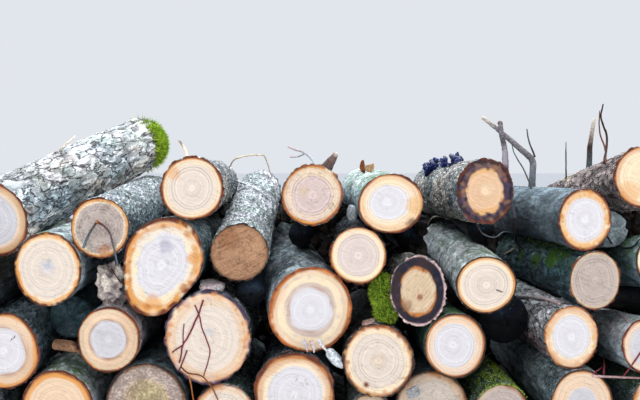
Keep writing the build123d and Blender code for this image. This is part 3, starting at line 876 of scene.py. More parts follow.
def shapeBark(log):
    # Lift of the bark = slow swell + scales that stand off - cracks between them + a ragged outline. It
    # fades out over the faces, and a log on the floor isn't pressed below it.
    depth, acrossScale, alongScale = barkRelief[log.look["bark"]]
    scales = np.array([acrossScale, acrossScale, alongScale])
    log.swell = fractal(log.spots, (14, 14, 5), log.seed + 41, 2)
    log.scale = smooth(-0.2, 0.25, fractal(log.spots, scales, log.seed, 3))
    log.crack = 1 - smooth(0.0, 0.10, np.abs(fractal(log.spots, scales * 0.6, log.seed + 20, 3)))
    ragged = barkRagged[log.look["bark"]] * (fractal(log.spots, (100, 100, 40), log.seed + 50, 3) * 1.5 - 0.3)
    lift = depth * (0.6 * log.swell + 0.5 * (log.scale - 0.7) - 0.8 * log.crack) + ragged
    lift = np.clip(lift, barkReach[0], 0.0 if log.name.startswith("ground") else barkReach[1])
    reach = log.radius * log.reachShare + lift * smooth(0.93, 1.0, log.reachShare)
    log.across, log.rise = reach * np.cos(log.theta), reach * np.sin(log.theta)


# Depths on the ends, in metres: ripples of the saw, how far the bark's edge stands back and how unevenly,
# cracks, and the mean and unevenness of a weathered end's dome
endRelief = {"saw": 0.0005, "edge": 0.0012, "edgeUneven": 0.0016, "check": 0.003, "dome": -0.020,
             "domeUneven": 0.008}


def shapeEnds(log):
    # Sink of the ends = saw ripples + the bark's edge that stands back + cracks as grooves, each into the
    # log. A weathered end is a dented dome instead.
    look, still = log.look, np.zeros_like(log.theta)
    sawAngle = math.radians(look["sawTurn"])
    log.sawAcross = log.across * math.cos(sawAngle) + log.rise * math.sin(sawAngle)
    log.sawAlong = log.rise * math.cos(sawAngle) - log.across * math.sin(sawAngle)
    uneven = ripple(log.theta, log.metres, log.seed + 44, 10, 24, 1.0)
    edge = endRelief["edge"] + endRelief["edgeUneven"] * uneven
    log.sink = endRelief["saw"] * ripple(log.sawAcross * 40, still, log.seed + 43, 10, 6, 1.0)
    log.sink += smooth(barkRoot - 0.01, 1.0, log.reachShare) * edge
    for start, end, width in look["checks"]:
        near = distanceToLine(log.across * 1000, log.rise * 1000, start, end)
        log.sink += endRelief["check"] * (1 - smooth(0.2 * width, 0.8 * width, near))
    if look["weathered"]:
        dents = fractal(log.spots, (24, 24, 24), log.seed + 48, 3)
        dome = endRelief["domeUneven"] * dents + endRelief["dome"]
        log.sink = np.where(log.side < 0, dome * (1 - log.reachShare ** 2), 0.0)
    firstBark = np.where(log.metres < 0.004, 0.001, 0.0)        # the bark's first row follows the edge
    log.sink = np.where(log.side != 0, log.sink, firstBark) * np.where(log.side > 0, -1, 1)


def countRings(log):
    # How far out a point of a face lies among its rings, round a pith that may be off the middle: the share
    # of the radius from a centre that slides from the heart to the middle as the share grows, found in steps
    offX, offY = np.array(log.look["heart"]) / 1000
    log.ringShare = log.reachShare.astype(float).copy()
    for _ in range(4):
        gapX, gapY = log.across - offX * (1 - log.ringShare), log.rise - offY * (1 - log.ringShare)
        whole = radiusAt(log.form, np.arctan2(gapY, gapX), log.share)
        log.ringShare = np.clip(np.hypot(gapX, gapY) / whole, 0, 1)


def strewSpots(log):
    # The look's mottle as blotches on random places of a ring
    inner, outer, names, amount, size = log.look["mottle"]
    random = np.random.default_rng(log.seed + 80)
    blotches = []
    for turn in random.uniform(0, 2 * math.pi, amount):
        radius = radiusAt(log.form, np.array([turn]), np.zeros(1))[0] * 1000
        place = random.uniform(inner, outer) * radius
        blotches.append((place * math.cos(turn), place * math.sin(turn), size * random.uniform(0.5, 1.3),
                         names[random.integers(len(names))], random.uniform(0.3, 0.8)))
    return blotches


def paintFace(log):
    # Zones, then blotches with ragged edges inside the bark, then dark cracks
    look, across, rise = log.look, log.across * 1000, log.rise * 1000
    colours = zoneColours(look, log.ringShare, log.theta, log.seed)
    ragged = 1 + 0.25 * ripple(log.theta * 3, log.metres, log.seed + 45, 10, 8, 1.0)
    blotches = list(look["blotches"]) + (strewSpots(log) if look["mottle"] else [])
    for spotX, spotY, size, tone, strength in blotches:
        near = np.hypot(across - spotX, rise - spotY)
        mix = strength * (1 - smooth(0.4 * size * ragged, size * ragged, near)) * (log.ringShare < 0.97)
        colours = paintOver(colours, tone, mix)
    for start, end, width in look["checks"]:
        near = distanceToLine(across, rise, start, end)
        colours = paintOver(colours, "umber", 0.85 * (1 - smooth(0.3 * width, width, near)))
    return colours


def paintBark(log):
    # The two bark tones by swell and scale, then the patches of the photo, each round the place where the
    # line of sight through its pixel meets the log. Mossy is where those patches are moss.
    mix = np.clip(0.45 + 0.8 * log.swell + 0.35 * (log.scale - 0.5), 0, 1)[..., None]
    colours, mossy = blendTones(log.look["tones"], mix), np.zeros_like(log.theta)
    for pixelX, pixelY, size, what, strength in barkSpots.get(log.name, ()):
        pixel = np.array([pixelX, pixelY], float)
        spotShare, spotTurn = onLog(log.name, atDepth(pixel, firstHit([pixel])[0][0]))
        turned = (log.theta - spotTurn + math.pi) % (2 * math.pi) - math.pi
        near = np.hypot((log.share - spotShare) * log.form["length"] * 0.6, turned * log.radius) * 1000
        near = near * (1 + 0.45 * fractal(log.spots, (45, 45, 20), log.seed + 70, 3))
        mix = strength * (1 - smooth(0.45 * size, 1.1 * size, near)) * (log.side == 0)
        if what == "moss":
            mossy = np.maximum(mossy, mix)
        else:
            colours = paintOver(colours, what, mix)
    return colours, mossy


def growthOn(log, mossy):
    # Lichen and moss keep to the upper side, and damp with painted shade to the lower one. On a sawn face the
    # same channels say how strong its rings, saw marks and grime are.
    look = log.look
    topSide = smooth(-0.5, 0.8, np.sin(log.theta))
    patchy = 0.25 * ripple(log.theta, log.metres, log.seed + 46, 14, 4, 0.3)
    lichen = np.clip(look["lichen"] * (0.35 + 0.75 * topSide + patchy), 0, 1)
    moss = np.clip(look["moss"] * (0.4 + 0.8 * topSide - patchy), 0, 1)
    # damp with painted shade, strongest on the lower side
    dampAndShade = np.clip(look["dampAndShade"] * (1.35 - topSide), 0, 1)
    onBark = np.stack([lichen, np.maximum(moss, mossy), dampAndShade], axis=-1)
    return np.where(log.sawn[..., None], [look["rings"], look["saw"], look["grime"]], onBark)


def buildLog(name):
    # point = pith(share) + reach (cos theta right + sin theta up) + sink along
    log = layGrid(name)
    shapeBark(log)
    shapeEnds(log)
    countRings(log)
    form, weathered = log.form, log.look["weathered"]
    points = form["front"] + log.share[..., None] * (form["rear"] - form["front"])
    for part, axis in ((log.across, "right"), (log.rise, "up"), (log.sink, "along")):
        points = points + part[..., None] * form[axis]
    bark, mossy = paintBark(log)
    colours = np.where(log.sawn[..., None], paintFace(log), bark)
    # on the bark, relief marks the mesh's cracks for the shader to darken, partly as painted shade
    relief = np.where(log.sawn, log.ringShare * np.mean(form["radii"][0]), 0.6 * log.crack)
    shift = np.random.default_rng(log.seed).uniform(-5, 5, 3)      # no two logs share a pattern
    grain = np.stack([log.across, log.rise, np.where(log.sawn, 0.0, log.metres)], axis=-1) + shift
    saw = np.stack([log.sawAcross, log.sawAlong, np.zeros_like(log.theta)], axis=-1) + shift
    fields = {"tone": opaque(colours), "growth": opaque(growthOn(log, mossy)), "relief": relief,
              "grain": grain, "saw": saw}
    fields = {field: withPoles(values) for field, values in fields.items()}
    fields["relief"][-2:] = 0.0

    rows = len(log.theta)
    quads, fans = closedGrid(rows, log.around)
    points = np.concatenate([points.reshape(-1, 3), [form["front"], form["rear"]]])
    band = np.repeat(np.arange(rows - 1), log.around)
    sawn = ((band < log.faceRows - 1) | (band >= rows - log.rearRows)) & (not weathered)
    slots = np.concatenate([sawn, np.full(2 * log.around, not weathered)])
    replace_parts(makePiece("log_" + name, points, quads, fans, (log.look["bark"], "sawn"), fields, slots),
                name)


for logName in forms:
    buildLog(logName)
print("logs built:", len(forms), "with triangles:", sum(trianglesOf.values()))


# Small pieces: sticks, twigs, chips, moss, fungus, a leaf. Each vertex carries its own tone.

def looseMaterial(name, roughness, specular, grit, depth, coat=0.0):
    # The vertex tone, made uneven by noise of the place in the object, with a fine bump
    material, tree, shader = newMaterial(name, roughness, specular)
    shader.inputs["Coat Weight"].default_value = coat
    place = addNode(tree, "ShaderNodeTexCoord").outputs["Object"]
    noise = noiseNode(tree, place, grit, 4.0, 0.65)
    value = rampNode(tree, noise, 0.32, 0.68, 0.55, 1.25)
    grey = greyNode(tree, value)
    base = mixColour(tree, 1.0, attribute(tree, "tone", "Color"), grey, "MULTIPLY")
    tree.links.new(base, shader.inputs["Base Color"])
    bumpInto(tree, shader, noise, depth, 0.8)
    return material


materials["rough"] = looseMaterial("roughBark", 0.85, 0.2, 160.0, 0.002)
materials["jelly"] = looseMaterial("jelly", 0.34, 0.4, 60.0, 0.002, 0.1)
materials["leaves"] = looseMaterial("mossLeaves", 0.75, 0.2, 90.0, 0.0005)


def curve(points, steps):
    # Smooth path through points (Catmull-Rom): each stretch mixes its four neighbours by cubics of t
    points = np.asarray(points, float)
    padded = np.concatenate([2 * points[:1] - points[1:2], points, 2 * points[-1:] - points[-2:-1]])
    t = np.linspace(0, 1, steps, endpoint=False)[None, :, None]
    a, b, c, d = (padded[i:len(padded) - 3 + i, None, :] for i in range(4))
    square, cube = 2 * a - 5 * b + 4 * c - d, 3 * b - a - 3 * c + d
    path = 0.5 * (2 * b + (c - a) * t + square * t ** 2 + cube * t ** 3)
    return np.concatenate([path.reshape(-1, points.shape[1]), points[-1:]])


def tube(name, path, radii, tones, sides, uneven, seed):
    # Round surface along a path: point = path(i) + radius (cos a side + sin a lift), closed by both tips
    way = np.gradient(path, axis=0)
    way /= np.linalg.norm(way, axis=1, keepdims=True)
    side = np.cross(way, (0.13, 0.97, 0.21))
    side /= np.linalg.norm(side, axis=1, keepdims=True)
    lift = np.cross(side, way)
    turn = np.linspace(0, 2 * math.pi, sides, endpoint=False)
    ring = np.cos(turn)[None, :, None] * side[:, None] + np.sin(turn)[None, :, None] * lift[:, None]
    bumps = 1 + uneven * fractal(path[:, None] + 0.004 * ring, (160, 160, 160), seed, 2)
    points = path[:, None] + ring * (np.asarray(radii)[:, None] * bumps)[..., None]
    tips = np.stack([path[0] - way[0] * radii[0] * 0.4, path[-1] + way[-1] * radii[-1] * 0.4])
    quads, fans = closedGrid(len(path), sides)
    tones = np.concatenate([np.repeat(tones, sides, axis=0), tones[:1], tones[-1:]])
    makePiece(name, np.concatenate([points.reshape(-1, 3), tips]), quads, fans, ("rough",),
              {"tone": opaque(tones)})


def lumpArrays(centre, half, turn=(0, 0, 0), power=1.0, rough=0.15, scale=60, curl=0.0,
               tones=("fog", "silver"), rows=18, sides=28, seed=0):
    # Rounded block: a unit ball, each part raised to `power` with its sign kept, times the half sizes in
    # millimetres, swollen by noise, curled by y += curl x^2, turned and moved to its centre
    parts = unitBall(rows, sides)
    shaped = np.sign(parts) * np.abs(parts) ** power
    noise = fractal(parts * np.array(half) / 1000 + seed, (scale,) * 3, seed, 3)
    local = shaped * np.array(half) / 1000 * (1 + rough * noise)[:, None]
    local[:, 1] += curl / 1000 * (local[:, 0] / (half[0] / 1000)) ** 2
    rx, ry, rz = np.radians(turn)
    aboutX = np.array([[1, 0, 0], [0, math.cos(rx), -math.sin(rx)], [0, math.sin(rx), math.cos(rx)]])
    aboutY = np.array([[math.cos(ry), 0, math.sin(ry)], [0, 1, 0], [-math.sin(ry), 0, math.cos(ry)]])
    aboutZ = np.array([[math.cos(rz), -math.sin(rz), 0], [math.sin(rz), math.cos(rz), 0], [0, 0, 1]])
    points = local @ (aboutZ @ aboutY @ aboutX).T + np.asarray(centre)
    quads, fans = closedGrid(rows, sides)
    tone = blendTones(tones, np.clip(0.5 + 0.9 * noise, 0, 1)[:, None])
    return points, quads[:, ::-1], fans[:, ::-1], opaque(tone)


def lump(name, centre, half, finish="rough", **shape):
    # One rounded block as a piece of its own
    points, quads, fans, tone = lumpArrays(centre, half, **shape)
    makePiece(name, points, quads, fans, (finish,), {"tone": tone})
    return points


def placeOf(at):
    # The point at a depth in millimetres behind the faces on the line through a pixel: (across, down, depth)
    return atDepth(np.array(at[:2]), at[2])


def tufts(name, points, normals, height, width, tones, seed):
    # Short leaves: thin pyramids on three corners round each point, leaning out along the normal and a
    # random way. Height and width are in millimetres.
    random = np.random.default_rng(seed)
    count = len(points)
    lean = normals + random.normal(0, 0.5, (count, 3))
    lean /= np.linalg.norm(lean, axis=1, keepdims=True)
    side = np.cross(lean, random.normal(0, 1, (count, 3)))
    side /= np.linalg.norm(side, axis=1, keepdims=True)
    other = np.cross(lean, side)
    tall = height / 1000 * random.uniform(0.35, 1.0, count)[:, None]
    broad = width / 1000 * random.uniform(0.6, 1.2, count)[:, None]
    corners = np.stack([points + side * broad, points + (-0.5 * side + 0.87 * other) * broad,
                        points + (-0.5 * side - 0.87 * other) * broad, points + lean * tall], axis=1)
    start = 4 * np.arange(count)[:, None, None]
    faces = (start + np.array([[0, 1, 3], [1, 2, 3], [2, 0, 3], [0, 2, 1]])).reshape(-1, 3)
    tone = blendTones(tones, random.uniform(0, 1, count)[:, None])
    # painted shade at each leaf's feet and painted light at its tip
    paintedShadeAndLight = np.array([0.45, 0.45, 0.45, 1.15])[None, :, None]       # dark feet and a light tip
    tone = (tone[:, None, :] * paintedShadeAndLight).reshape(-1, 3)
    makePiece(name, corners.reshape(-1, 3), np.zeros((0, 4), int), faces, ("leaves",), {"tone": opaque(tone)},
              flat=True)


# Snapped branches, as in the solids: the log and share they grow from, knees as (across, above, girth) from
# the pith in millimetres, and tones from the stem to the broken tip
branches = {
    "branch_top_5": dict(log="top_5", share=0.04,
                         knees=[(20, 45, 44), (50, 88, 26), (60, 103, 18), (65, 113, 15)],
                         tones=[(92, 70, 64), (104, 84, 78), (118, 98, 92), "shell"]),
    "branch_top_8": dict(log="top_8", share=0.6,
                         knees=[(0, 40, 24), (6, 150, 20), (2, 166, 20), (-104, 256, 15), (-152, 294, 11)],
                         tones=["slate", (150, 150, 158), (128, 124, 128), (150, 146, 150), "shell"]),
    "branch_top_9": dict(log="top_9", share=0.6, knees=[(0, 40, 22), (4, 150, 16), (16, 236, 11)],
                         tones=["slate", "umber", "shell"]),
}


def buildBranch(name, log, share, knees, tones):
    # Straight stretches between the knees, with short bends: points near each knee are drawn together
    form = forms[log]
    root = form["front"] + share * (form["rear"] - form["front"])
    across, above, girth = np.array(knees, float).T / 1000
    places = root + np.stack([across, 0 * across, above], axis=1)
    steps = 10
    t = np.linspace(0, 1, steps, endpoint=False)
    stretch = np.arange(len(knees) - 1)[:, None] + t
    where = np.append(stretch.reshape(-1), len(knees) - 1)
    path = np.stack([np.interp(where, np.arange(len(knees)), places[:, axis]) for axis in range(3)], axis=1)
    path += 0.0012 * np.stack([fractal(path, (50, 50, 50), 5 + axis, 2) for axis in range(3)], axis=1)
    radii = np.interp(where, np.arange(len(knees)), girth / 2)
    colours = np.stack([np.interp(where ** 1.2, np.arange(len(knees)) ** 1.2,
                                  [linear(tone)[axis] for tone in tones])
                        for axis in range(3)], axis=1)
    tube(name, path, radii, colours, 14, 0.14, 7)


for branchName, branch in branches.items():
    buildBranch(branchName, **branch)
print("branches built:", len(branches))

# Twigs, vines and grass: path as (pixel across, pixel down, depth in millimetres behind the faces, or None
# where it lies on the log behind that pixel), thickness at both ends in millimetres, and tones
twigs = {
    "twig_face_long": dict(path=[(203, 300, None), (198, 315, None), (189, 335, None), (183, 345, None),
                                 (181, 355, None), (179, 363, None)], thick=(5, 4), tones=("wine", "wine")),
    "twig_face_side": dict(path=[(183, 345, None), (174, 351, None), (161, 360, None), (156, 362, None)],
                           thick=(4, 2.5), tones=("wine", "umber")),
    "twig_face_short": dict(path=[(184, 324, None), (183, 335, None), (183, 345, None)], thick=(3, 3),
                            tones=("wine", "wine")),
    "twig_face_low": dict(path=[(187, 350, None), (181, 366, None), (178, 374, None)], thick=(4, 3),
                          tones=("wine", "umber")),
    "twig_face_right": dict(path=[(195, 305, None), (199, 315, None), (202, 329, None), (207, 341, None),
                                  (210, 351, None), (208, 361, None), (204, 376, None)], thick=(4, 3),
                            tones=("wine", "wine")),
    "twig_foot_pink": dict(path=[(181, 367, 8), (188, 373, 0), (201, 376, -6), (211, 386, -8),
                                 (218, 400, -4)],
                           thick=(4, 4), tones=("redBark", "rust")),
    "twig_foot_brown": dict(path=[(189, 376, 0), (191, 386, -4), (194, 402, -4)], thick=(4, 4),
                            tones=("ochre", "rust")),
    "twig_fork_left": dict(path=[(83, 248, -14), (87, 238, -16), (92, 229, -18), (97, 222, -18)],
                           thick=(8, 6), tones=("slate", "umber")),
    "twig_fork_right": dict(path=[(96.5, 221.5, -18), (104, 226, -16), (110, 234, -12), (113, 246, -4),
                                  (116, 257, 10), (118, 266, 26)], thick=(7, 5), tones=("redBark", "slate")),
    "twig_fork_tip": dict(path=[(95.5, 222, -20), (98, 221.5, -20)], thick=(7, 7), tones=("ochre", "rust")),
    "twig_thin_left": dict(path=[(106, 261, None), (112, 270, 30), (121, 283, 40)], thick=(3, 3),
                           tones=("umber", "umber")),
    "vine_low": dict(path=[(237.5, 177, None), (252, 187, None), (266, 197, None), (280.6, 208, None)],
                     thick=(6, 6), tones=("milk", "silver")),
    "vine_high": dict(path=[(238, 191, None), (246, 187, None), (254, 183.5, None), (266, 190, None),
                            (281, 200, None)], thick=(6, 5), tones=("milk", "silver")),
    "grass_arch": dict(path=[(229, 164, None), (235, 159, 420), (246, 156, 520), (258, 155, 640),
                             (265, 157, 720), (271, 166, None)],
                       thick=(5, 4), tones=("sand", "cream")),
    "stub_top_3": dict(path=[(179, 140, 200), (184, 147, 200), (188, 156, None)], thick=(7, 9),
                       tones=("ashWood", "cream")),
    "stick_behind": dict(path=[(57, 153, None), (64, 146, 420), (75, 136, 560)], thick=(7, 4),
                         tones=("ashWood", "cream")),
    "twig_pale": dict(path=[(288, 147, 380), (296, 150, 330), (303, 152, 280), (311, 158, 220),
                            (317, 166, 150)],
                      thick=(5, 9), tones=("pink", "silver")),
    "twig_pale_fork": dict(path=[(290, 157, 340), (297, 157, 310), (304, 154, 275)], thick=(4, 5),
                           tones=("pink", "silver")),
    "stick_standing": dict(path=[(500, 122, 595), (502, 136, 560), (505, 152, 520), (505, 168, None)],
                           thick=(14, 20), tones=((112, 104, 110), (120, 112, 120))),
    "stick_nub": dict(path=[(498.5, 122, 590), (501, 123.5, 590)], thick=(12, 12), tones=("walnut", "ochre")),
    "twig_high_a": dict(path=[(527, 129, 600), (529, 141, 600), (535, 157, 590)], thick=(4, 6),
                        tones=("slate", "umber")),
    "twig_high_b": dict(path=[(510.6, 139, 640), (515, 155, 620), (524, 170, 600), (532, 184, None)],
                        thick=(3, 5), tones=("slate", "umber")),
    "twig_high_c": dict(path=[(566, 142, 560), (566, 155, 540), (566, 170, None)], thick=(3, 5),
                        tones=("slate", "umber")),
    "twig_right_dark": dict(path=[(603, 104, 330), (601, 118, 340), (607, 138, 380), (604, 158, None)],
                            thick=(4, 8), tones=("umber", "umber")),
    "twig_right_red": dict(path=[(600, 111, 340), (599, 122, 350), (600, 134, 390), (605, 148, 370),
                                 (606, 158, None)], thick=(3, 6), tones=("rust", "redBark")),
    "twig_tangle_a": dict(path=[(476, 222, None), (480, 230, 40), (485, 235, 30), (495, 237, 30),
                                (503, 232, 40), (513, 233, None)], thick=(4, 3), tones=("umber", "slate")),
    "twig_tangle_b": dict(path=[(513, 205, None), (515, 222, 60), (516, 240, None), (520, 252, None)],
                          thick=(10, 7), tones=("soot", "umber")),
    "stick_small": dict(path=[(505, 254, None), (510, 251, None), (514, 248, None)], thick=(6, 5),
                        tones=("sand", "cream")),
    "twig_curved": dict(path=[(605, 233, None), (612, 243, None), (620, 247, None), (632, 247, None),
                              (642, 237, None)], thick=(5, 4), tones=("umber", "soot")),
    "twig_arch": dict(path=[(592, 312, None), (600, 309, 40), (611, 310, None), (620, 315, None),
                            (628, 321, None)],
                      thick=(5, 4), tones=("silver", "pink")),
    "stick_foot": dict(path=[(592, 376, 20), (610, 377, 10), (640, 378, 10), (662, 379, 20)], thick=(7, 6),
                       tones=("pink", "redBark")),
    "twig_foot_a": dict(path=[(604, 357, None), (604, 367, 20), (603, 378, 16)], thick=(5, 4),
                        tones=("wine", "wine")),
    "twig_foot_b": dict(path=[(641, 352, None), (632, 365, 16), (622, 378, 16)], thick=(5, 4),
                        tones=("wine", "wine")),
    "twig_foot_c": dict(path=[(593, 374, 20), (601, 368, 20), (610, 361, None)], thick=(4, 3),
                        tones=("wine", "umber")),
    "splinter_a": dict(path=[(303, 340, -2), (306, 346, -4), (308, 352, 0)], thick=(12, 4),
                       tones=("milk", "pink")),
    "splinter_b": dict(path=[(311, 341, -2), (314, 347, -4), (314, 353, 0)], thick=(14, 4),
                       tones=("pink", "milk")),
    "splinter_c": dict(path=[(319, 340, -2), (322, 345, -4), (327, 351, 0)], thick=(14, 5),
                       tones=("milk", "milk")),
    "strip_peeled": dict(path=[(519, 296, None), (532, 297, None), (546, 299, None), (560, 304, None)],
                         thick=(11, 8), tones=("milk", "pink")),
    "grass_behind": dict(path=[(424, 222, None), (432, 218, 520), (442, 217, 560), (452, 220, None)],
                         thick=(4, 3), tones=("sand", "silver")),
}


def buildTwig(name, path, thick, tones):
    # Path through the pixels' places, kept just outside every log: where a sample would sink into one, it is
    # drawn towards the camera by what it lacks
    pixels = np.array([point[:2] for point in path], float)
    found, _ = firstHit(pixels)
    for end in (0, -1):
        if path[end][2] is None and not np.isfinite(found[end]):
            pixels[end], found[end] = dropTo(pixels[end])
    asked = np.array([np.nan if point[2] is None else point[2] for point in path], float)
    asked = np.where(np.isfinite(asked), asked, found)
    known = np.isfinite(asked)
    asked = np.interp(np.arange(len(path)), np.arange(len(path))[known], asked[known])
    route = curve(np.column_stack([pixels, asked]), 9)
    share = np.linspace(0, 1, len(route))
    radii = (thick[0] + (thick[1] - thick[0]) * share) / 2000
    depth = route[:, 2].copy()
    for _ in range(8):
        points = atDepth(route[:, :2], depth)
        lack = radii * 0.7 - airAround(points)[0]
        depth -= np.clip(lack, 0, 0.03) * 1000
    depth = np.convolve(np.pad(depth, 2, mode="edge"), np.ones(5) / 5, mode="valid")
    seed = sum(map(ord, name))
    points = atDepth(route[:, :2], depth)
    points += 0.0012 * np.stack([fractal(points, (40, 40, 40), seed + axis, 2) for axis in range(3)], axis=1)
    tube(name, points, radii, blendTones(tones, share[:, None]), 8, 0.22, seed)


for twigName, twig in twigs.items():
    buildTwig(twigName, **twig)
print("twigs built:", len(twigs))

# Chips, slabs, a burr and a leaf: pixel and depth of the middle, half sizes and turn as in lump()
chips = {
    "burr": dict(at=(112, 287, 70), half=(38, 40, 64), rough=0.75, scale=46, tones=("plum", "shell"), rows=40,
                 sides=56),
    "slab_left": dict(at=(65, 345.5, 22), half=(37, 16, 12), power=0.5, turn=(18, 8, 0), rough=0.2,
                      tones=("umber", "walnut")),
    "slab_left_end": dict(at=(76, 349, 26), half=(16, 14, 6), power=0.5, turn=(10, 24, 0),
                          tones=("umber", "walnut")),
    "chip_white": dict(at=(335, 358, 24), half=(31, 12, 15), power=0.7, turn=(24, 48, 0), rough=0.3,
                       tones=("frost", (240, 240, 244))),
    "chip_grey": dict(at=(413, 392, 4), half=(19, 8, 15), power=0.6, turn=(10, -24, 0), rough=0.3,
                      tones=((138, 138, 140), (184, 182, 182))),
    "chip_pink": dict(at=(369, 323, 30), half=(18, 22, 8), power=0.6, turn=(10, -14, 0), rough=0.3,
                      tones=("pink", "walnut")),
    "chip_below": dict(at=(106, 253, 14), half=(12, 7, 9), power=0.5, turn=(0, 20, 0),
                       tones=("cream", "milk")),
    "leaf": dict(at=(371, 168, 230), half=(15, 2.5, 14), power=0.7, turn=(30, -20, 20), rough=0.3, curl=9,
                 tones=("ochre", "sand")),
    "leaf_side": dict(at=(364, 167, 240), half=(8, 2.5, 21), power=0.8, turn=(0, -14, 60), rough=0.3, curl=7,
                      tones=("umber", "rust")),
    "bark_bit_a": dict(at=(352, 214, 150), half=(14, 20, 24), power=0.7, rough=0.3, tones=("milk", "silver")),
    "bark_rot": dict(at=(211, 286, 70), half=(34, 40, 12), power=0.7, turn=(8, 4, 0), rough=0.4, scale=50,
                     tones=("milk", "pink")),
}


def buildChip(name, at, **shape):
    # A block with a seed from its name's letters
    lump(name, placeOf(at), seed=sum(map(ord, name)), **shape)


for chipName, chip in chips.items():
    buildChip(chipName, **chip)
print("chips built:", len(chips))

# Jelly fungus: ruffled lobes round a pixel, crowded on the log below it. Spread is in pixels across and
# down and in millimetres along the line of sight; off is how far a lobe may stand off the bark.
fungus = {
    "fungus_left": dict(at=(431, 167), spread=(5.5, 9, 34), off=22, lobes=34, size=13),
    "fungus_right": dict(at=(451, 160), spread=(10, 5, 34), off=22, lobes=34, size=12),
}
jellyTones = ((4, 8, 28), (14, 40, 118))


def buildFungus(name, at, spread, off, lobes, size):
    # Each lobe is a rounded block, let down or lifted until it stands off the bark by no more than asked
    random = np.random.default_rng(len(name))
    depth = dropTo(np.array(at) + (0, 0.5 * spread[1]))[1]
    parts, count = [], 0
    for lobe in range(lobes):
        pixel = np.array(at) + random.uniform(-1, 1, 2) * spread[:2]
        place = atDepth(pixel, depth + random.uniform(-1, 1) * spread[2])
        for _ in range(8):
            gap = airAround(place[None])[0][0]
            place[2] -= min(gap + 0.003, 0.0) + max(gap - off / 1000, 0.0)
        half = size * random.uniform(0.5, 1.0, 3) * (1, 0.4, 1)
        turn = random.uniform(-70, 70, 3)
        points, quads, fans, tone = lumpArrays(place, half, turn, power=0.9, rough=0.5, scale=110, curl=5.0,
                                               tones=jellyTones, rows=10, sides=16, seed=lobe)
        parts.append((points, quads + count, fans + count, tone))
        count += len(points)
    points, quads, fans, tone = (np.concatenate(arrays) for arrays in zip(*parts))
    makePiece(name, points, quads, fans, ("jelly",), {"tone": tone})


for patchName, patch in fungus.items():
    buildFungus(patchName, **patch)
print("fungus built")

# Moss that stands off: on a log round a share and an angle in degrees, or over a cushion
mossTufts = {
    "moss_far_end": dict(log="top_1", share=0.968, turn=8, along=0.022, around=0.042, count=3600, height=24),
    "moss_upper_7": dict(log="upper_7", share=0.42, turn=75, along=0.12, around=0.030, count=1600, height=6),
    "moss_bottom_9": dict(log="bottom_9", share=0.30, turn=90, along=0.20, around=0.045, count=2000,
                          height=6),
}
mossTones = ((70, 124, 16), (226, 255, 84))


def buildMoss(name, log, share, turn, along, around, count, height):
    # Tufts scattered round a place on a log's bark: their spread along it is a share of its length, and
    # their spread round it is in metres
    random = np.random.default_rng(len(name) + 5)
    form = forms[log]
    along = np.clip(share + random.normal(0, along, count), 0.0, 0.995)
    angle = math.radians(turn) + random.normal(0, around, count) / form["radii"][0].mean()
    outward = np.cos(angle)[:, None] * form["right"] + np.sin(angle)[:, None] * form["up"]
    feet = form["front"] + along[:, None] * (form["rear"] - form["front"])
    feet = feet + outward * (radiusAt(form, angle, along) - 0.002)[:, None]
    tufts(name, feet, outward, height, 1.5, mossTones, 3)


for mossName, moss in mossTufts.items():
    buildMoss(mossName, **moss)

cushions = {
    "cushion_middle": dict(at=(382, 291, 80), half=(27, 36, 40), count=4200, height=17),
    "cushion_low": dict(at=(386, 312, 80), half=(24, 34, 30), count=3000, height=15),
}
cushionTones = ((70, 124, 16), (226, 255, 90))


def buildCushion(name, at, half, count, height):
    # A dark rounded body with leaves that point away from its middle
    middle = placeOf(at)
    body = lump(name, middle, half, "leaves", rough=0.45, scale=40, tones=("fern", "moss"), rows=30, sides=40,
                seed=len(name))
    random = np.random.default_rng(11)
    feet = body[random.integers(0, len(body), count)] + random.normal(0, 0.002, (count, 3))
    outward = feet - middle
    outward /= np.linalg.norm(outward, axis=1, keepdims=True)
    tufts(name + "_leaves", feet, outward, height, 1.5, cushionTones, 4)


for cushionName, cushion in cushions.items():
    buildCushion(cushionName, **cushion)
print("moss built")

# Painted shade: near-black crumbs packed into the hollows wherever the photo's line of sight would pass right
# through the stack, so that the gaps read as shadow; each sits where its line comes closest to a log, and at
# least depth millimetres behind the faces. skyline is the photo's pixel height, by pixel across, below which
# it is dark.
shadowFill = dict(step=5, depth=250, half=(18, 36, 18), tones=((22, 21, 24), (44, 36, 31)), rows=6, sides=9,
              skyline=[(-10, 225), (60, 232), (150, 190), (168, 197), (235, 205), (262, 205), (284, 198),
                       (300, 205), (344, 196), (352, 196), (420, 205), (520, 205), (600, 212), (650, 212)])


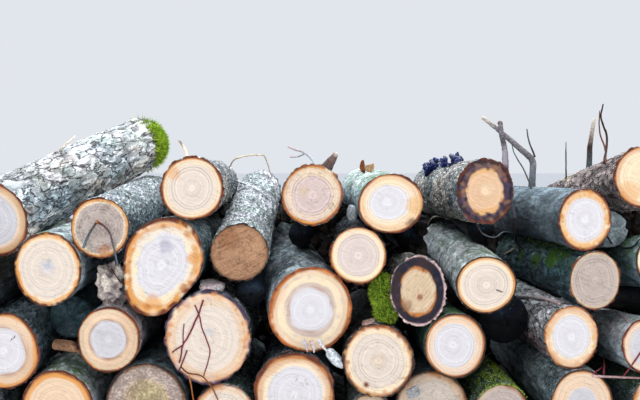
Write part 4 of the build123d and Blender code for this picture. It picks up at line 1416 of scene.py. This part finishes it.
def buildShadowFill():
    # One sphere-like grid, stretched, moved and dented anew for each crumb, all joined in one mesh
    random = np.random.default_rng(21)
    across, down = np.meshgrid(np.arange(-4, 645, shadowFill["step"]), np.arange(180, 402, shadowFill["step"]))
    pixels = np.column_stack([across.reshape(-1), down.reshape(-1)]).astype(float)
    edge = np.array(shadowFill["skyline"], float)
    pixels = pixels[pixels[:, 1] > np.interp(pixels[:, 0], edge[:, 0], edge[:, 1])]
    depths = np.arange(0.0, 1190.0, 28.0)
    rays = pixels[:, None, :] + np.zeros((1, len(depths), 1))
    gap = airAround(atDepth(rays, np.broadcast_to(depths, rays.shape[:2])))[0]
    clear = (gap > -0.004).all(axis=1)
    pixels, gap = pixels[clear], gap[clear]
    closest = depths[np.argmin(np.where(depths > shadowFill["depth"], gap, 9.0), axis=1)]
    centres = atDepth(pixels, closest + random.uniform(-10, 10, len(pixels)))
    rows, sides = shadowFill["rows"], shadowFill["sides"]
    ball = unitBall(rows, sides)
    size = np.array(shadowFill["half"]) / 1000 * random.uniform(0.8, 1.25, (len(centres), 1, 3))
    dents = random.uniform(0.78, 1.15, (len(centres), len(ball), 1))
    points = centres[:, None, :] + ball[None] * size * dents
    start = (np.arange(len(centres)) * len(ball))[:, None, None]
    ballQuads, ballFans = closedGrid(rows, sides)
    quads = (ballQuads[:, ::-1] + start).reshape(-1, 4)
    fans = (ballFans[:, ::-1] + start).reshape(-1, 3)
    mix = random.uniform(0, 1, (len(centres), 1, 1)) * np.ones((1, len(ball), 1))
    # near-black tones: painted shade
    tone = opaque(blendTones(shadowFill["tones"], mix)).reshape(-1, 4)
    makePiece("shadowFill", points.reshape(-1, 3), quads, fans, ("rough",), {"tone": tone}, flat=True)
    return len(centres)


print("litter crumbs:", buildShadowFill())
print("triangles in all:", sum(trianglesOf.values()))


# Stage: floor, lights and camera

stage = {
    "floor": (236, 238, 242), "floorSize": 60.0,
    "sky": (0.90, 0.94, 1.0), "skyPower": 0.84,
    # name: (place, aim, width, height, watts, colour)
    "lamps": {
        "sky_panel": ((0.0, 1.2, 3.6), (0.0, 0.1, 0.7), 5.0, 3.0, 210, (0.90, 0.95, 1.0)),
        "front_panel": ((-1.6, -5.2, 2.6), (0.0, -0.5, 0.6), 3.6, 2.6, 96, (1.0, 0.98, 0.95)),
        "side_panel": ((3.6, -4.2, 2.0), (0.2, -0.5, 0.6), 2.4, 2.4, 45, (1.0, 0.98, 0.95)),
    },
}


def buildFloor():
    # A wide square at the stack's foot
    half = stage["floorSize"] / 2
    mesh = bpy.data.meshes.new("floor")
    mesh.from_pydata([(-half, -half, 0), (half, -half, 0), (half, half, 0), (-half, half, 0)], [],
                     [(0, 1, 2, 3)])
    material, tree, shader = newMaterial("floorPaint", 0.75, 0.2)
    shader.inputs["Base Color"].default_value = (*linear(stage["floor"]), 1)
    mesh.materials.append(material)
    floor = bpy.data.objects.new("floor", mesh)
    bpy.context.scene.collection.objects.link(floor)


def buildLights():
    # An even sky and soft panels, each turned so that its back's Z axis points away from its aim
    world = bpy.data.worlds.new("studio")
    world.use_nodes = True
    background = world.node_tree.nodes["Background"]
    background.inputs["Color"].default_value = (*stage["sky"], 1)
    background.inputs["Strength"].default_value = stage["skyPower"]
    bpy.context.scene.world = world
    for name, (place, aim, width, height, watts, colour) in stage["lamps"].items():
        lamp = bpy.data.lights.new(name, "AREA")
        lamp.shape, lamp.size, lamp.size_y = "RECTANGLE", width, height
        lamp.energy, lamp.color = watts, colour
        holder = bpy.data.objects.new(name, lamp)
        holder.location = place
        direction = np.array(aim) - np.array(place)
        holder.rotation_euler = (math.atan2(math.hypot(direction[0], direction[1]), -direction[2]), 0,
                                 math.atan2(-direction[0], direction[1]))
        bpy.context.scene.collection.objects.link(holder)


def buildCamera():
    # The photo's own viewpoint
    lens = bpy.data.cameras.new("camera")
    lens.sensor_width = 36.0
    lens.lens = viewpoint["focalPixels"] / viewpoint["photoWidth"] * lens.sensor_width
    camera = bpy.data.objects.new("camera", lens)
    camera.location = viewpoint["place"]
    camera.rotation_euler = (math.radians(90 - viewpoint["pitch"]), 0, 0)
    bpy.context.scene.collection.objects.link(camera)
    bpy.context.scene.camera = camera


buildFloor()
buildLights()
buildCamera()
bpy.context.scene.view_settings.view_transform = "Standard"
print("stage set")
